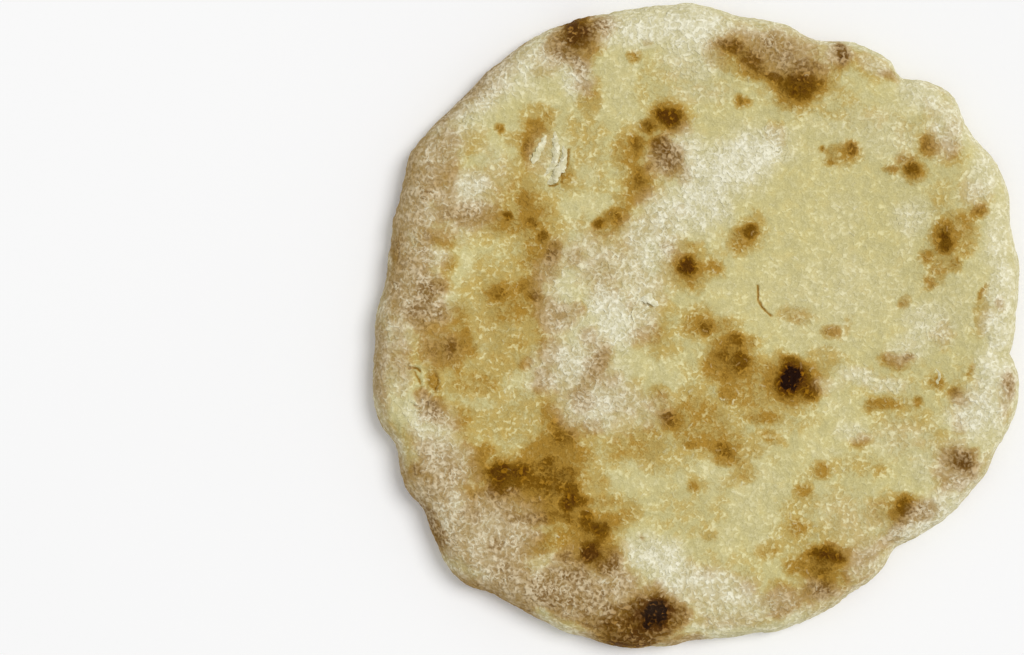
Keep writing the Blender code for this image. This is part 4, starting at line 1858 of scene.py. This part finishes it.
class FOCACCIA_OT_crumbs(bpy.types.Operator):
    """Strews the crust with small crumbs of flour and of crust"""

    bl_idname = "focaccia.crumbs"
    bl_label = "Crumbs"

    def execute(self, context):
        scene = context.scene
        sizes = scene.focaccia_crumbs
        groups = shared_groups(scene)
        material = crust_material(*groups, "crumbs", CRUMBS_LIFTED)
        skin = bpy.data.objects["crust"].data
        for name, spacing, seed in (
            ("flour_crumbs", sizes.flour_spacing, FLOUR_SEED),
            ("crust_crumbs", sizes.crust_spacing, CRUST_SEED),
        ):
            tree = crumbs_tree(name, name, material)
            inputs = {
                "Spacing": spacing,
                "Length": sizes.length,
                "Half-width": sizes.half_width,
                "Flatness": sizes.flatness,
                "Sunk": sizes.sunk,
                "Seed": seed,
            }
            mesh = grown(skin, tree, inputs, name)
            add_piece(scene, mesh, name)
        return {"FINISHED"}


class FOCACCIA_OT_stage(bpy.types.Operator):
    """Sets the floor, the soft light and the camera"""

    bl_idname = "focaccia.stage"
    bl_label = "Stage"

    def execute(self, context):
        scene = context.scene
        sizes = scene.focaccia_stage
        self.add_floor(scene, sizes)
        self.add_light(scene, sizes)
        self.add_camera(scene, sizes)
        scene.view_settings.view_transform = "Standard"
        return {"FINISHED"}

    def add_floor(self, scene, sizes):
        """A plain floor that isn't part of the loaf."""
        bm = bmesh.new()
        bmesh.ops.create_grid(bm, x_segments=8, y_segments=8, size=sizes.floor_size / 2)
        mesh = bpy.data.meshes.new("floor")
        bm.to_mesh(mesh)
        bm.free()
        mesh.materials.append(floor_material())
        floor = bpy.data.objects.new("floor", mesh)
        scene.collection.objects.link(floor)

    def add_light(self, scene, sizes):
        """A broad soft key light, and an even light from all round."""
        lamp = bpy.data.lights.new("soft_key", "SUN")
        lamp.energy = sizes.sun_strength
        lamp.angle = math.radians(SUN_SOFTNESS)
        sun = bpy.data.objects.new("soft_key", lamp)
        tilt = math.radians(90.0 - SUN_ELEVATION)
        turn = math.radians(SUN_AZIMUTH + 90.0)
        sun.rotation_euler = (tilt, 0.0, turn)
        scene.collection.objects.link(sun)
        world = bpy.data.worlds.new("light_all_round")
        world.use_nodes = True
        background = world.node_tree.nodes["Background"]
        background.inputs["Color"].default_value = (1.0, 1.0, 1.0, 1.0)
        background.inputs["Strength"].default_value = sizes.sky_strength
        scene.world = world

    def add_camera(self, scene, sizes):
        """A camera straight above, framed at the height of the widest outline."""
        camera = bpy.data.cameras.new("camera")
        camera.sensor_width = SENSOR_WIDTH
        distance = sizes.camera_height - scene.focaccia_loaf.edge_height
        camera.lens = SENSOR_WIDTH * distance / (FRAME_WIDTH_PIXELS * PIXEL_SIZE)
        holder = bpy.data.objects.new("camera", camera)
        holder.location = (CAMERA_X, CAMERA_Y, sizes.camera_height)
        scene.collection.objects.link(holder)
        scene.camera = holder


class FOCACCIA_PT_panel(bpy.types.Panel):
    """Makes each part of the loaf's looks"""

    bl_idname = "FOCACCIA_PT_panel"
    bl_label = "Focaccia"
    bl_space_type = "VIEW_3D"
    bl_region_type = "UI"
    bl_category = "Focaccia"

    def draw(self, context):
        for operator in OPERATORS:
            self.layout.operator(operator.bl_idname)


OPERATORS = (
    FOCACCIA_OT_crust,
    FOCACCIA_OT_flakes,
    FOCACCIA_OT_crumbs,
    FOCACCIA_OT_stage,
)
GROUPS = {
    "focaccia_loaf": LoafSizes,
    "focaccia_colours": CrustColours,
    "focaccia_crumbs": CrumbSizes,
    "focaccia_stage": StageSizes,
}


def register():
    for name, group in GROUPS.items():
        bpy.utils.register_class(group)
        setattr(bpy.types.Scene, name, bpy.props.PointerProperty(type=group))
    for operator in OPERATORS:
        bpy.utils.register_class(operator)
    bpy.utils.register_class(FOCACCIA_PT_panel)


def unregister():
    bpy.utils.unregister_class(FOCACCIA_PT_panel)
    for operator in reversed(OPERATORS):
        bpy.utils.unregister_class(operator)
    for name, group in GROUPS.items():
        delattr(bpy.types.Scene, name)
        bpy.utils.unregister_class(group)


def main():
    register()
    bpy.ops.focaccia.crust()
    bpy.ops.focaccia.flakes()
    bpy.ops.focaccia.crumbs()
    bpy.ops.focaccia.stage()


if __name__ == "__main__":
    main()
